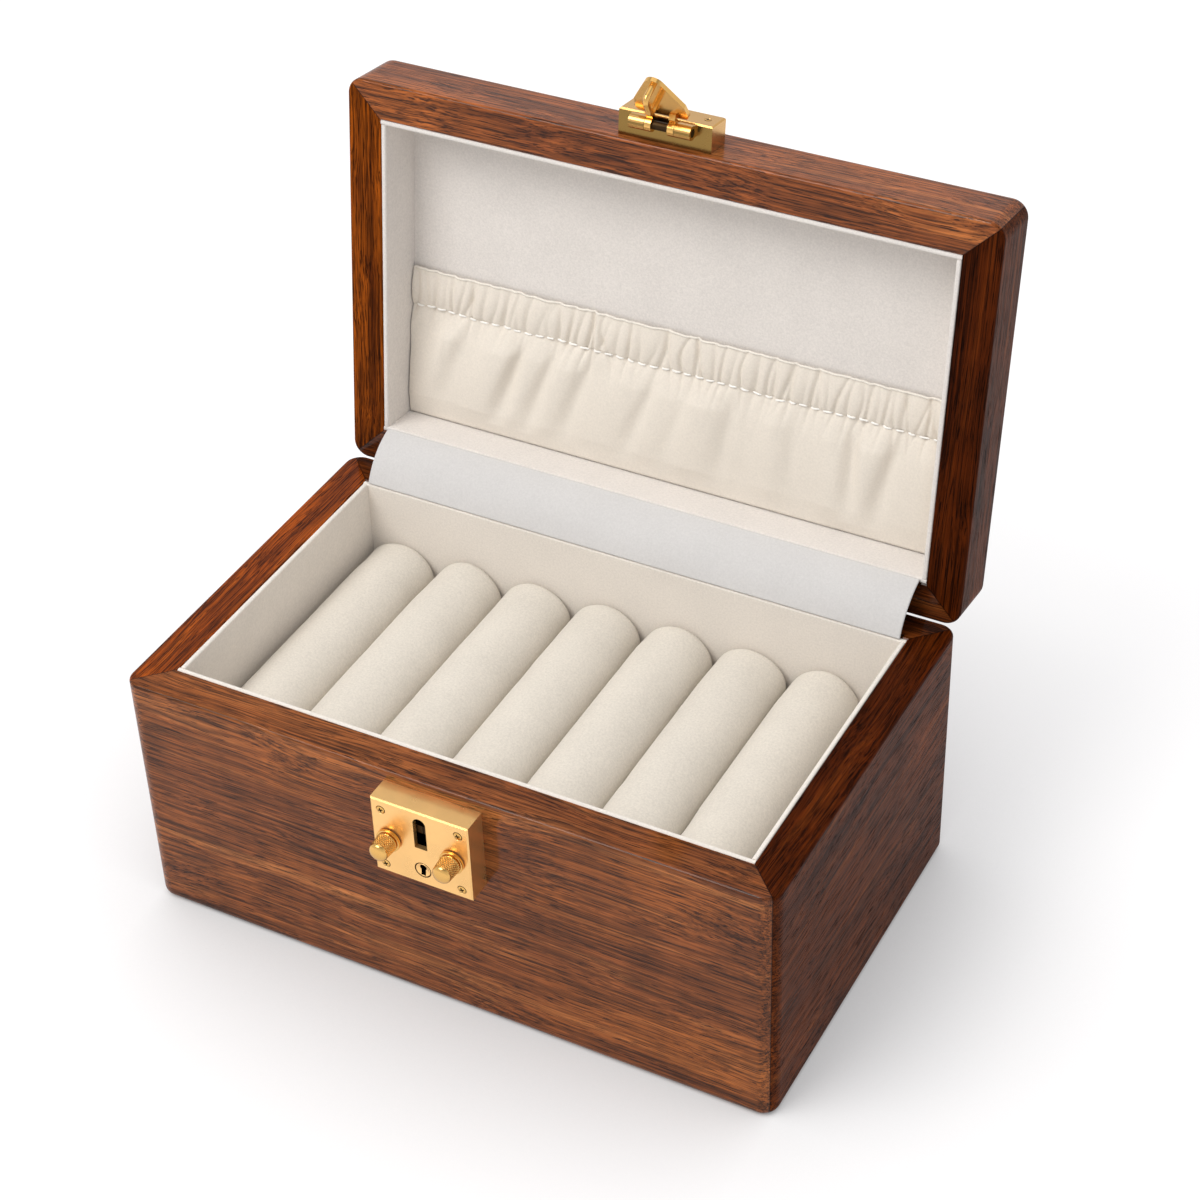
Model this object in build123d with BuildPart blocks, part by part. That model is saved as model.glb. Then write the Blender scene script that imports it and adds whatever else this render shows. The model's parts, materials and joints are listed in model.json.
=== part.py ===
"""A walnut bangle box: a lined wooden case whose hinged lid locks with a brass hasp.

X runs along the front, Y to the back and Z up. The origin is the middle of the underside.
The lid and the hasp are drawn shut, in the places where they lock, and are then turned open.
Depths of the brass fittings are measured outwards from the front face of the wood.
"""

import os
from math import cos, radians, sin

from build123d import *

os.makedirs("parts", exist_ok=True)

# Wooden case
box_width = 240.0
box_depth = 147.0
base_height = 98.0
lid_height = 24.0
lid_gap = 0.6
open_angle = 97.5
wall = 13.2
corner_radius = 6.0
foot_radius = 3.2
crown_radius = 3.0
rim_radius = 1.2
inner_edge = 0.4
panel_lap = 6.0
floor_thickness = 5.0
felt_thickness = 1.2
lid_panel_thickness = 3.2
strip_relief = 3.0

# Suede-covered lining boards
lining = 1.8
lining_drop = 0.1
lining_edge = 0.7
floor_lining = 1.5
lid_panel_lining = 1.3

# Bangle rolls and the rails that they lie on
roll_count = 7
roll_gap = 0.35
roll_free_width = 11.2
roll_drop = 20.2
roll_crown = 0.4
roll_end_radius = 3.5
seat_gap = 0.3
rail_thickness = 8.0
rail_below_axis = 8.0

# Gathered pocket in the lid
pocket_reach = 42.5
ruffle_reach = 15.0
pocket_margin = 0.4
pocket_folds = 12
pocket_thickness = (0.9, 3.4, 1.8)
pocket_swell = (0.3, 1.5, 0.9)
ruffle_folds = 26
ruffle_thickness = (1.4, 2.2, 1.5)
ruffle_swell = (0.7, 1.3, 1.2)
elastic_width = 6.0
elastic_thickness = 0.5
elastic_above_stitch = 1.0

# Fabric strip over the hinge line
strip_thickness = 1.0
strip_bulge = 2.6

# Butt hinges
hinge_spread = 156.0
hinge_length = 30.0
hinge_inset = 0.45
leaf_thickness = 1.2
leaf_reach = 10.0
leaf_screw_inset = 3.8
knuckle_radius = 2.0
middle_knuckle = 10.0
hinge_pin_radius = 0.9

# Clearances: a turning pin, two parts that pass each other, a screw in its hole
running = 0.05
play = 0.1
screw_fit = 0.04

# Countersunk wood screws
hinge_screw_head = 1.7
hinge_screw_shank = 0.9
hinge_screw_length = 9.0
hinge_screw_spread = 18.0
lock_screw_head = 1.7
lock_screw_shank = 0.9
lock_screw_length = 17.0
hasp_screw_head = 1.3
hasp_screw_shank = 0.8
hasp_screw_length = 15.0

# Lock case on the front
lock_width = 36.0
lock_height = 31.0
lock_depth = 9.0
lock_drop = 4.0
lock_shell = 1.6
lock_face = 1.8
lock_edge = 0.5
back_plate = 1.2
boss_radius = 2.3
screw_inset_side = 3.8
screw_inset_low = 3.5
screw_inset_high = 4.2
slot_width = 4.7
slot_height = 12.8
slot_below_top = 2.7
plug_radius = 3.05
pivot_radius = 1.2
plug_above_bottom = 6.3
keyhole_width = 1.0
keyhole_height = 4.2
keyhole_depth = 3.2

# Knobs, latches and the bolt that holds them
knob_offset = 11.7
knob_above_bottom = 15.3
knob_travel = 1.8
knob_clear = 0.2
collar_radius = 4.35
collar_thickness = 1.2
collar_edge = 0.3
grip_radius = 3.75
grip_groove = 0.4
grip_taper = 0.35
grip_length = 4.9
knob_length = 8.2
dome_shoulder = 0.45
spindle_radius = 1.4
layer_gap = 0.4
latch_meeting = 0.15
latch_bar = 3.4
latch_nose = 3.0
latch_pad = 2.4
post_inner = 5.2
post_outer = 9.0
spring_width = 0.35
spring_bend = 3.0
spring_foot = 1.4
spring_crest = 0.2
bolt_back_gap = 1.2
bolt_bar = 1.65
bolt_lift = 2.0
prong_width = 1.2
prong_clear = 0.22
cam_clear = 0.3
cam_tip = 0.8

# Hasp on the lid
block_width = 34.0
block_above_rim = 3.3
block_height = 10.2
block_depth = 9.2
block_edge = 0.5
block_screw_spread = 25.6
block_screw_height = 5.3
hasp_open_angle = 56.0
barrel_radius = 2.45
barrel_outset = 6.8
barrel_clear = 0.15
knuckle_web = 4.0
hasp_pin_radius = 1.5
outer_knuckle = (5.45, 11.2)
hasp_knuckle = (3.0, 5.3)
plate_thickness = 1.6
plate_clear = 0.35
shoulder_reach = 3.0
shoulder_half = 9.7
cheek_half = 9.1
cheek_reach = 9.0
plate_beyond_staple = 1.4
plate_tip_radius = 3.6
plate_shoulder_radius = 1.6
arm_set_back = 0.7
arm_foot = 1.9
arm_cheek = 0.8
arm_lap = 0.3
staple_radius = 1.1
staple_spacing = 7.5
staple_bend = 2.0
staple_clear = 0.95

# Places worked out from the sizes above
inner_x = box_width / 2 - wall - lining
inner_y = box_depth / 2 - wall - lining
front_y = -box_depth / 2
back_y = box_depth / 2
floor_z = felt_thickness + floor_thickness
rim_z = base_height + lid_gap
lid_top = rim_z + lid_height
lid_ceiling = lid_top - lid_panel_thickness - lid_panel_lining
hinge_y = back_y - hinge_inset
hinge_z = base_height + lid_gap / 2
lid_axis = Axis((0, hinge_y, hinge_z), (-1, 0, 0))


def opened(piece):
    """Turn a piece of the lid from shut to open."""
    return piece.rotate(lid_axis, open_angle)


def write(piece, name):
    """Name a finished piece and write it."""
    piece.label = name
    export_step(piece, f"parts/{name}.step")


def keep_side(side):
    """Keep one side of a frame, cut along the diagonals that run in from its corners."""
    x, y, past = box_width / 2, box_depth / 2, 1.0
    corners = {
        "front": [(-x - past, -y - past), (x + past, -y - past), (x - y, 0), (y - x, 0)],
        "back": [(-x - past, y + past), (x + past, y + past), (x - y, 0), (y - x, 0)],
        "left": [(-x - past, -y - past), (y - x, 0), (-x - past, y + past)],
        "right": [(x + past, -y - past), (x - y, 0), (x + past, y + past)],
    }
    with BuildSketch(Plane.XY.offset(-past)) as wedge:
        with BuildLine():
            Polyline(*corners[side], close=True)
        make_face()
    extrude(wedge.sketch, amount=lid_top + 2 * past, mode=Mode.INTERSECT)


def relieve_strip(edge_z, way):
    """Bevel the inner edge of a back rim, which leaves room for the folded fabric strip."""
    inner = back_y - wall
    with BuildSketch(Plane.YZ.offset(-inner_x)) as bevel:
        with BuildLine():
            Polyline(
                (inner, edge_z),
                (inner + strip_relief, edge_z),
                (inner, edge_z - way * strip_relief),
                close=True,
            )
        make_face()
    extrude(bevel.sketch, amount=2 * inner_x, mode=Mode.SUBTRACT)


def turn_screw(place, inward, head, shank, length, grow=0.0, mode=Mode.ADD):
    """Turn a countersunk screw with its head at a place, or cut the hole that it goes in."""
    plane = Plane(place, x_dir=(1, 0, 0), z_dir=Vector(1, 0, 0).cross(Vector(*inward)))
    with BuildSketch(plane) as section:
        with BuildLine():
            Polyline(
                (0, 0),
                (head + grow, 0),
                (shank + grow, head - shank),
                (shank + grow, length + grow),
                (0, length + grow),
                close=True,
            )
        make_face()
    revolve(section.sketch, axis=Axis(place, inward), mode=mode)


hinge_middles = [-hinge_spread / 2, hinge_spread / 2]
hinge_screw_y = hinge_y - leaf_reach + leaf_screw_inset
hinge_screw = (hinge_screw_head, hinge_screw_shank, hinge_screw_length)


def turn_hinge_screws(face_z, inward, grow=0.0, mode=Mode.ADD):
    """The screws of both hinges in one rim, or their holes."""
    for middle in hinge_middles:
        for offset in (-hinge_screw_spread / 2, hinge_screw_spread / 2):
            turn_screw((middle + offset, hinge_screw_y, face_z), inward, *hinge_screw, grow, mode)


def knuckle(start_x, length, radius, mode=Mode.ADD):
    """A length of hinge barrel, or a bore along it."""
    with BuildSketch(Plane.YZ.offset(start_x)) as ring:
        with Locations((hinge_y, hinge_z)):
            Circle(radius)
    extrude(ring.sketch, amount=length, mode=mode)


def leaf(middle, face_z, inward, mode=Mode.ADD):
    """The flat of one hinge leaf, flush with the rim that it is let into, or its recess."""
    with BuildSketch(Plane.XY.offset(face_z)) as flat:
        with Locations((middle, hinge_y - leaf_reach / 2)):
            Rectangle(hinge_length, leaf_reach)
    extrude(flat.sketch, amount=inward[2] * leaf_thickness, mode=mode)


def clear_knuckle(start_x, length, face_z, inward):
    """Cut a leaf back where a knuckle of the other leaf turns."""
    reach = knuckle_radius + play
    with BuildSketch(Plane.XY.offset(face_z)) as notch:
        with Locations((start_x + length / 2, hinge_y - reach / 2)):
            Rectangle(length, reach)
    extrude(notch.sketch, amount=inward[2] * leaf_thickness, mode=Mode.SUBTRACT)


def seat_hinges(face_z, inward):
    """Let both hinges into a back rim: the leaves, the barrels and the screw holes."""
    for middle in hinge_middles:
        leaf(middle, face_z, inward, Mode.SUBTRACT)
        outer = hinge_length / 2 + play
        knuckle(middle - outer, 2 * outer, knuckle_radius + play, Mode.SUBTRACT)
    turn_hinge_screws(face_z, inward, screw_fit, Mode.SUBTRACT)


def at_depth(depth):
    """A plane parallel to the front face, this far in front of it."""
    return Plane.XZ.offset(depth - front_y)


# Base frame: four mitred boards round a rebated floor
with BuildPart() as base_frame:
    with BuildSketch():
        RectangleRounded(box_width, box_depth, corner_radius)
    extrude(amount=base_height)
    fillet(base_frame.faces().sort_by(Axis.Z)[0].edges(), foot_radius)
    fillet(base_frame.faces().sort_by(Axis.Z)[-1].edges(), rim_radius)
    with BuildSketch():
        Rectangle(box_width - 2 * wall, box_depth - 2 * wall)
    extrude(amount=base_height, mode=Mode.SUBTRACT)
    inner_rim = base_frame.faces().sort_by(Axis.Z)[-1].inner_wires()[0]
    chamfer(inner_rim.edges(), inner_edge)
    with BuildSketch():
        Rectangle(box_width - 2 * (wall - panel_lap), box_depth - 2 * (wall - panel_lap))
    extrude(amount=floor_z, mode=Mode.SUBTRACT)

lock_bottom = base_height - lock_drop - lock_height
lock_top = base_height - lock_drop
lock_middle = (lock_bottom + lock_top) / 2
lock_screw_places = [
    (side * (lock_width / 2 - screw_inset_side), height)
    for side in (-1, 1)
    for height in (lock_bottom + screw_inset_low, lock_top - screw_inset_high)
]


def turn_lock_screws(grow=0.0, mode=Mode.ADD):
    """The four screws that hold the lock case to the wood, or their holes."""
    for x, z in lock_screw_places:
        place = (x, front_y - lock_depth, z)
        turn_screw(place, (0, 1, 0), lock_screw_head, lock_screw_shank, lock_screw_length, grow, mode)


with BuildPart() as base_front:
    add(base_frame.part)
    keep_side("front")
    turn_lock_screws(screw_fit, Mode.SUBTRACT)
write(base_front.part, "base_front")

with BuildPart() as base_back:
    add(base_frame.part)
    keep_side("back")
    relieve_strip(base_height, 1)
    seat_hinges(base_height, (0, 0, -1))
write(base_back.part, "base_back")

with BuildPart() as base_left:
    add(base_frame.part)
    keep_side("left")
write(base_left.part, "base_left")

with BuildPart() as base_right:
    add(base_frame.part)
    keep_side("right")
write(base_right.part, "base_right")

panel_size = (box_width - 2 * (wall - panel_lap), box_depth - 2 * (wall - panel_lap))

with BuildPart() as base_floor:
    with BuildSketch(Plane.XY.offset(felt_thickness)):
        Rectangle(*panel_size)
    extrude(amount=floor_thickness)
write(base_floor.part, "base_floor")

with BuildPart() as base_felt:
    with BuildSketch():
        Rectangle(*panel_size)
    extrude(amount=felt_thickness)
write(base_felt.part, "base_felt")

# Lining boards of the base and the lid: front and back run through, the sides fit between


def line_side(side, low, high, open_edge):
    """One lining board, with the rolled edge that shows at the mouth of the case."""
    across = side in ("front", "back")
    sign = -1 if side in ("front", "left") else 1
    length = box_width - 2 * wall if across else 2 * inner_y
    middle = sign * ((inner_y if across else inner_x) + lining / 2)
    with BuildPart() as board:
        with BuildSketch(Plane.XY.offset(low)):
            with Locations((0, middle) if across else (middle, 0)):
                Rectangle(length, lining) if across else Rectangle(lining, length)
        extrude(amount=high - low)
        mouth = board.faces().sort_by(Axis.Z)[-1 if open_edge == "top" else 0]
        fillet(mouth.edges().filter_by(Axis.X if across else Axis.Y), lining_edge)
    return board.part


for side in ("front", "back", "left", "right"):
    write(line_side(side, floor_z, base_height - lining_drop, "top"), f"lining_{side}")
    write(opened(line_side(side, rim_z + lining_drop, lid_ceiling, "bottom")), f"lid_lining_{side}")

with BuildPart() as lining_floor:
    with BuildSketch(Plane.XY.offset(floor_z)):
        Rectangle(2 * inner_x, 2 * inner_y)
    extrude(amount=floor_lining)
write(lining_floor.part, "lining_floor")

# Rolls and the two scalloped rails that carry their ends
roll_pitch = (2 * inner_x - roll_free_width) / roll_count
roll_radius = (roll_pitch - roll_gap) / 2
roll_z = base_height - roll_drop - roll_radius
roll_half = inner_y - seat_gap
roll_places = [-inner_x + seat_gap + roll_radius + i * roll_pitch for i in range(roll_count)]

for number, roll_x in enumerate(roll_places, start=1):
    with BuildPart() as roll:
        with BuildSketch(Plane.XY.offset(roll_z)):
            with BuildLine():
                end_radius = roll_radius - roll_crown
                Line((roll_x, -roll_half), (roll_x, roll_half))
                Line((roll_x, roll_half), (roll_x + end_radius - roll_end_radius, roll_half))
                CenterArc(
                    (roll_x + end_radius - roll_end_radius, roll_half - roll_end_radius),
                    roll_end_radius,
                    90,
                    -90,
                )
                ThreePointArc(
                    (roll_x + end_radius, roll_half - roll_end_radius),
                    (roll_x + roll_radius, 0),
                    (roll_x + end_radius, roll_end_radius - roll_half),
                )
                CenterArc(
                    (roll_x + end_radius - roll_end_radius, roll_end_radius - roll_half),
                    roll_end_radius,
                    0,
                    -90,
                )
                Line((roll_x + end_radius - roll_end_radius, -roll_half), (roll_x, -roll_half))
            make_face()
        revolve(axis=Axis((roll_x, 0, roll_z), (0, 1, 0)))
    write(roll.part, f"roll_{number}")

rail_bottom = floor_z + floor_lining
for name, sign in (("rail_front", -1), ("rail_back", 1)):
    with BuildPart() as rail:
        with BuildSketch(Plane.XZ.offset(-sign * (inner_y - rail_thickness / 2))):
            with Locations((0, (rail_bottom + roll_z - rail_below_axis) / 2)):
                Rectangle(2 * inner_x, roll_z - rail_below_axis - rail_bottom)
            with Locations(*[(roll_x, roll_z) for roll_x in roll_places]):
                Circle(roll_radius + seat_gap, mode=Mode.SUBTRACT)
        extrude(amount=rail_thickness / 2, both=True)
    write(rail.part, name)

# Lid frame: four mitred boards round a flush top panel
with BuildPart() as lid_frame:
    with BuildSketch(Plane.XY.offset(rim_z)):
        RectangleRounded(box_width, box_depth, corner_radius)
    extrude(amount=lid_height)
    fillet(lid_frame.faces().sort_by(Axis.Z)[-1].edges(), crown_radius)
    fillet(lid_frame.faces().sort_by(Axis.Z)[0].edges(), rim_radius)
    with BuildSketch(Plane.XY.offset(rim_z)):
        Rectangle(box_width - 2 * wall, box_depth - 2 * wall)
    extrude(amount=lid_height, mode=Mode.SUBTRACT)
    inner_rim = lid_frame.faces().sort_by(Axis.Z)[0].inner_wires()[0]
    chamfer(inner_rim.edges(), inner_edge)
    with BuildSketch(Plane.XY.offset(lid_top - lid_panel_thickness)):
        Rectangle(*panel_size)
    extrude(amount=lid_panel_thickness, mode=Mode.SUBTRACT)

block_screw_z = rim_z + block_above_rim + block_screw_height


def turn_block_screws(grow=0.0, mode=Mode.ADD):
    """The two screws that hold the hasp block to the lid, or their holes."""
    for x in (-block_screw_spread / 2, block_screw_spread / 2):
        place = (x, front_y - block_depth, block_screw_z)
        turn_screw(place, (0, 1, 0), hasp_screw_head, hasp_screw_shank, hasp_screw_length, grow, mode)


with BuildPart() as lid_front:
    add(lid_frame.part)
    keep_side("front")
    turn_block_screws(screw_fit, Mode.SUBTRACT)
write(opened(lid_front.part), "lid_front")

with BuildPart() as lid_back:
    add(lid_frame.part)
    keep_side("back")
    relieve_strip(rim_z, -1)
    seat_hinges(rim_z, (0, 0, 1))
write(opened(lid_back.part), "lid_back")

with BuildPart() as lid_left:
    add(lid_frame.part)
    keep_side("left")
write(opened(lid_left.part), "lid_left")

with BuildPart() as lid_right:
    add(lid_frame.part)
    keep_side("right")
write(opened(lid_right.part), "lid_right")

with BuildPart() as lid_panel:
    with BuildSketch(Plane.XY.offset(lid_top - lid_panel_thickness)):
        Rectangle(*panel_size)
    extrude(amount=lid_panel_thickness)
write(opened(lid_panel.part), "lid_panel")

with BuildPart() as lid_lining_panel:
    with BuildSketch(Plane.XY.offset(lid_ceiling)):
        Rectangle(box_width - 2 * wall, box_depth - 2 * wall)
    extrude(amount=lid_panel_lining)
write(opened(lid_lining_panel.part), "lid_lining_panel")

# Gathered pocket: the pouch, the ruffle above its stitch line and the elastic behind the ruffle
pocket_half = inner_x - pocket_margin
pocket_start = wall + lining + pocket_margin
stitch_reach = pocket_start + pocket_reach
ruffle_top = stitch_reach + ruffle_reach


def fold_outline(reach, thickness, swell, count):
    """Outline of gathered cloth across the lid: flat behind, one uneven arc for each fold in front."""
    front_z = lid_ceiling - thickness
    spots = [-pocket_half]
    for i in range(1, count):
        spots.append(pocket_half * (2 * (i + 0.2 * sin(2.4 * i)) / count - 1))
    spots.append(pocket_half)
    with BuildSketch(Plane.XZ.offset(reach - back_y)) as outline:
        with BuildLine():
            for i in range(count):
                depth = swell * (1 + 0.35 * cos(1.7 * i))
                middle = ((spots[i] + spots[i + 1]) / 2, front_z - depth)
                ThreePointArc((spots[i], front_z), middle, (spots[i + 1], front_z))
            Polyline(
                (pocket_half, front_z),
                (pocket_half, lid_ceiling),
                (-pocket_half, lid_ceiling),
                (-pocket_half, front_z),
            )
        make_face()
    return outline.sketch


def gather(start, end, thicknesses, swells, count):
    """Loft gathered cloth through outlines at its start, its middle and its end."""
    reaches = (start, (start + end) / 2, end)
    loft([fold_outline(*section, count) for section in zip(reaches, thicknesses, swells)])


with BuildPart() as pocket_body:
    gather(pocket_start, stitch_reach, pocket_thickness, pocket_swell, pocket_folds)
write(opened(pocket_body.part), "pocket_body")

elastic_start = stitch_reach + elastic_above_stitch

with BuildPart() as pocket_ruffle:
    gather(stitch_reach, ruffle_top, ruffle_thickness, ruffle_swell, ruffle_folds)
    with BuildSketch(Plane.XY.offset(lid_ceiling)):
        with Locations((0, back_y - elastic_start - elastic_width / 2)):
            Rectangle(2 * pocket_half, elastic_width)
    extrude(amount=-elastic_thickness, mode=Mode.SUBTRACT)
write(opened(pocket_ruffle.part), "pocket_ruffle")

with BuildPart() as pocket_elastic:
    with BuildSketch(Plane.XY.offset(lid_ceiling)):
        with Locations((0, back_y - elastic_start - elastic_width / 2)):
            Rectangle(2 * pocket_half, elastic_width)
    extrude(amount=-elastic_thickness)
write(opened(pocket_elastic.part), "pocket_elastic")

# Fabric strip from the base lining to the lid lining, bowed towards the front
strip_half = inner_x - pocket_margin
strip_y = inner_y + lining / 2
strip_seat = strip_thickness / 2 + play


def opened_point(y, z):
    """Where a point of the shut lid goes when the lid is open."""
    turn = radians(open_angle)
    ahead, above = y - hinge_y, z - hinge_z
    return (
        hinge_y + ahead * cos(turn) + above * sin(turn),
        hinge_z - ahead * sin(turn) + above * cos(turn),
    )


with BuildPart() as hinge_strip:
    low = Vector(strip_y, base_height - lining_drop + strip_seat)
    high = Vector(*opened_point(strip_y, rim_z + lining_drop - strip_seat))
    run = high - low
    bow = (low + high) / 2 + Vector(-run.Y, run.X).normalized() * strip_bulge
    with BuildSketch(Plane.YZ.offset(-strip_half)):
        with BuildLine():
            ThreePointArc(low, bow, high)
        trace(line_width=strip_thickness)
    extrude(amount=2 * strip_half)
write(hinge_strip.part, "hinge_strip")

# Butt hinges: the base leaf has the outer knuckles, the lid leaf the middle one
outer_length = (hinge_length - middle_knuckle) / 2 - play

with BuildPart() as hinge_base_leaves:
    for middle in hinge_middles:
        leaf(middle, base_height, (0, 0, -1))
        clear_knuckle(middle - middle_knuckle / 2, middle_knuckle, base_height, (0, 0, -1))
        knuckle(middle - hinge_length / 2, outer_length, knuckle_radius)
        knuckle(middle + hinge_length / 2 - outer_length, outer_length, knuckle_radius)
        knuckle(middle - hinge_length / 2, hinge_length, hinge_pin_radius, Mode.SUBTRACT)
    turn_hinge_screws(base_height, (0, 0, -1), screw_fit, Mode.SUBTRACT)
write(hinge_base_leaves.part, "hinge_base_leaves")

with BuildPart() as hinge_lid_leaves:
    for middle in hinge_middles:
        outer = hinge_length / 2
        leaf(middle, rim_z, (0, 0, 1))
        clear_knuckle(middle - outer, outer - middle_knuckle / 2, rim_z, (0, 0, 1))
        clear_knuckle(middle + middle_knuckle / 2, outer - middle_knuckle / 2, rim_z, (0, 0, 1))
        knuckle(middle - middle_knuckle / 2, middle_knuckle, knuckle_radius)
        knuckle(middle - outer, hinge_length, hinge_pin_radius + running, Mode.SUBTRACT)
    turn_hinge_screws(rim_z, (0, 0, 1), screw_fit, Mode.SUBTRACT)
write(opened(hinge_lid_leaves.part), "hinge_lid_leaves")

with BuildPart() as hinge_pins:
    for middle in hinge_middles:
        knuckle(middle - hinge_length / 2, hinge_length, hinge_pin_radius)
write(hinge_pins.part, "hinge_pins")

with BuildPart() as hinge_base_screws:
    turn_hinge_screws(base_height, (0, 0, -1))
write(hinge_base_screws.part, "hinge_base_screws")

with BuildPart() as hinge_lid_screws:
    turn_hinge_screws(rim_z, (0, 0, 1))
write(opened(hinge_lid_screws.part), "hinge_lid_screws")

# Layers inside the lock, from the front plate back to the wood
cavity_depth = lock_depth - lock_face
layer_thickness = (cavity_depth - back_plate - bolt_back_gap - 2 * layer_gap) / 2
bolt_back = back_plate + bolt_back_gap
latch_back = bolt_back + layer_thickness + layer_gap
cavity_width = lock_width - 2 * lock_shell
cavity_height = lock_height - 2 * lock_shell
slot_middle = lock_top - slot_below_top - slot_height / 2
plug_z = lock_bottom + plug_above_bottom
knob_z = lock_bottom + knob_above_bottom

with BuildPart() as lock_case:
    with BuildSketch(at_depth(0)):
        with Locations((0, lock_middle)):
            Rectangle(lock_width, lock_height)
    extrude(amount=lock_depth)
    chamfer(lock_case.faces().sort_by(Axis.Y)[0].edges(), lock_edge)
    with BuildSketch(at_depth(0)):
        with Locations((0, lock_middle)):
            Rectangle(cavity_width, cavity_height)
    extrude(amount=back_plate, mode=Mode.SUBTRACT)
    with BuildSketch(at_depth(back_plate)):
        with Locations((0, lock_middle)):
            Rectangle(cavity_width, cavity_height)
        with Locations(*lock_screw_places):
            Circle(boss_radius, mode=Mode.SUBTRACT)
    extrude(amount=cavity_depth - back_plate, mode=Mode.SUBTRACT)
    with BuildSketch(at_depth(lock_depth)):
        with Locations((0, slot_middle - slot_width / 4)):
            Rectangle(slot_width, slot_height - slot_width / 2)
        with Locations((0, slot_middle + slot_height / 2 - slot_width / 2)):
            Circle(slot_width / 2)
        with Locations((0, plug_z)):
            Circle(plug_radius + running)
        knob_middle = knob_offset + knob_travel / 2
        with Locations((-knob_middle, knob_z), (knob_middle, knob_z)):
            SlotCenterToCenter(knob_travel, 2 * (spindle_radius + play))
    extrude(amount=-lock_face, mode=Mode.SUBTRACT)
    turn_lock_screws(screw_fit, Mode.SUBTRACT)
write(lock_case.part, "lock_case")

with BuildPart() as lock_back_plate:
    with BuildSketch(at_depth(0)):
        with Locations((0, lock_middle)):
            Rectangle(cavity_width - 2 * play, cavity_height - 2 * play)
        with Locations((0, plug_z)):
            Circle(pivot_radius + running, mode=Mode.SUBTRACT)
    extrude(amount=back_plate)
    turn_lock_screws(screw_fit, Mode.SUBTRACT)
write(lock_back_plate.part, "lock_back_plate")

with BuildPart() as lock_screws:
    turn_lock_screws()
write(lock_screws.part, "lock_screws")

# Key plug: a pivot in the back plate, a cam that lifts the bolt, and the keyhole in its face
with BuildPart() as key_plug:
    with BuildSketch(at_depth(play)):
        with Locations((0, plug_z)):
            Circle(pivot_radius)
    extrude(amount=bolt_back)
    with BuildSketch(at_depth(bolt_back)):
        with BuildLine():
            CenterArc((0, plug_z), plug_radius, 0, 360)
            CenterArc((plug_radius + bolt_lift - cam_tip, plug_z), cam_tip, 0, 360)
        make_hull()
    extrude(amount=layer_thickness)
    with BuildSketch(at_depth(bolt_back + layer_thickness)):
        with Locations((0, plug_z)):
            Circle(plug_radius)
    extrude(amount=lock_depth - play - bolt_back - layer_thickness)
    with BuildSketch(at_depth(lock_depth)):
        with Locations((0, plug_z)):
            Rectangle(keyhole_width, keyhole_height)
        with Locations((-keyhole_width / 2, plug_z + keyhole_height / 4)):
            Rectangle(keyhole_width, keyhole_height / 4)
        with Locations((keyhole_width / 2, plug_z - keyhole_height / 4)):
            Rectangle(keyhole_width, keyhole_height / 4)
    extrude(amount=-keyhole_depth, mode=Mode.SUBTRACT)
write(key_plug.part, "key_plug")

# Bolt: a yoke that the cam lifts, so that its prongs stop both latches
prong_top = knob_z - latch_bar / 2 - cam_clear
yoke_bottom = plug_z + plug_radius + cam_clear
prong_middle = post_outer - prong_width / 2

with BuildPart() as lock_bolt:
    with BuildSketch(at_depth(bolt_back)):
        with Locations((0, yoke_bottom + bolt_bar / 2)):
            Rectangle(2 * post_outer, bolt_bar)
    extrude(amount=layer_thickness)
    prong_z = (yoke_bottom + prong_top) / 2
    with BuildSketch(at_depth(bolt_back)):
        with Locations((-prong_middle, prong_z), (prong_middle, prong_z)):
            Rectangle(prong_width, prong_top - yoke_bottom)
    extrude(amount=latch_back + layer_thickness - bolt_back)
write(lock_bolt.part, "lock_bolt")

# Latches, their knobs and their springs
bar_low = knob_z - latch_bar / 2
bar_high = knob_z + latch_bar / 2
nose_low = slot_middle - latch_nose / 2
nose_high = slot_middle + latch_nose / 2
notch_inner = prong_middle - prong_width / 2 - prong_clear
notch_outer = prong_middle + prong_width / 2 + prong_clear
notch_top = prong_top + bolt_lift + prong_clear
bar_end = knob_offset + latch_pad

# Outline of the right latch: a nose for the staple, a post, and a bar with a notch for the bolt
latch_outline = [
    (latch_meeting, nose_low),
    (post_inner, nose_low),
    (post_inner, bar_low),
    (notch_inner, bar_low),
    (notch_inner, notch_top),
    (notch_outer, notch_top),
    (notch_outer, bar_low),
    (bar_end, bar_low),
    (bar_end, bar_high),
    (post_outer, bar_high),
    (post_outer, nose_high),
    (latch_meeting, nose_high),
]


def turn_knob(sign):
    """A round knob on a spindle, with a collar that covers the slot it slides in."""
    place = (sign * knob_offset, front_y, knob_z)
    collar_back = lock_depth + knob_clear
    collar_front = collar_back + collar_thickness
    grip_start = collar_front + grip_groove
    grip_end = grip_start + grip_length
    tip = collar_back + knob_length
    with BuildSketch(Plane(place, x_dir=(0, -1, 0), z_dir=(0, 0, -1))) as section:
        with BuildLine():
            Polyline(
                (grip_end, grip_radius - grip_taper),
                (grip_start, grip_radius),
                (collar_front, grip_radius - grip_groove),
                (collar_front, collar_radius - collar_edge),
                (collar_front - collar_edge, collar_radius),
                (collar_back, collar_radius),
                (collar_back, spindle_radius),
                (latch_back, spindle_radius),
                (latch_back, 0),
                (tip, 0),
            )
            ThreePointArc(
                (tip, 0),
                (tip - dome_shoulder, 0.7 * grip_radius),
                (grip_end, grip_radius - grip_taper),
            )
        make_face()
    revolve(section.sketch, axis=Axis(place, (0, -1, 0)))


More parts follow.
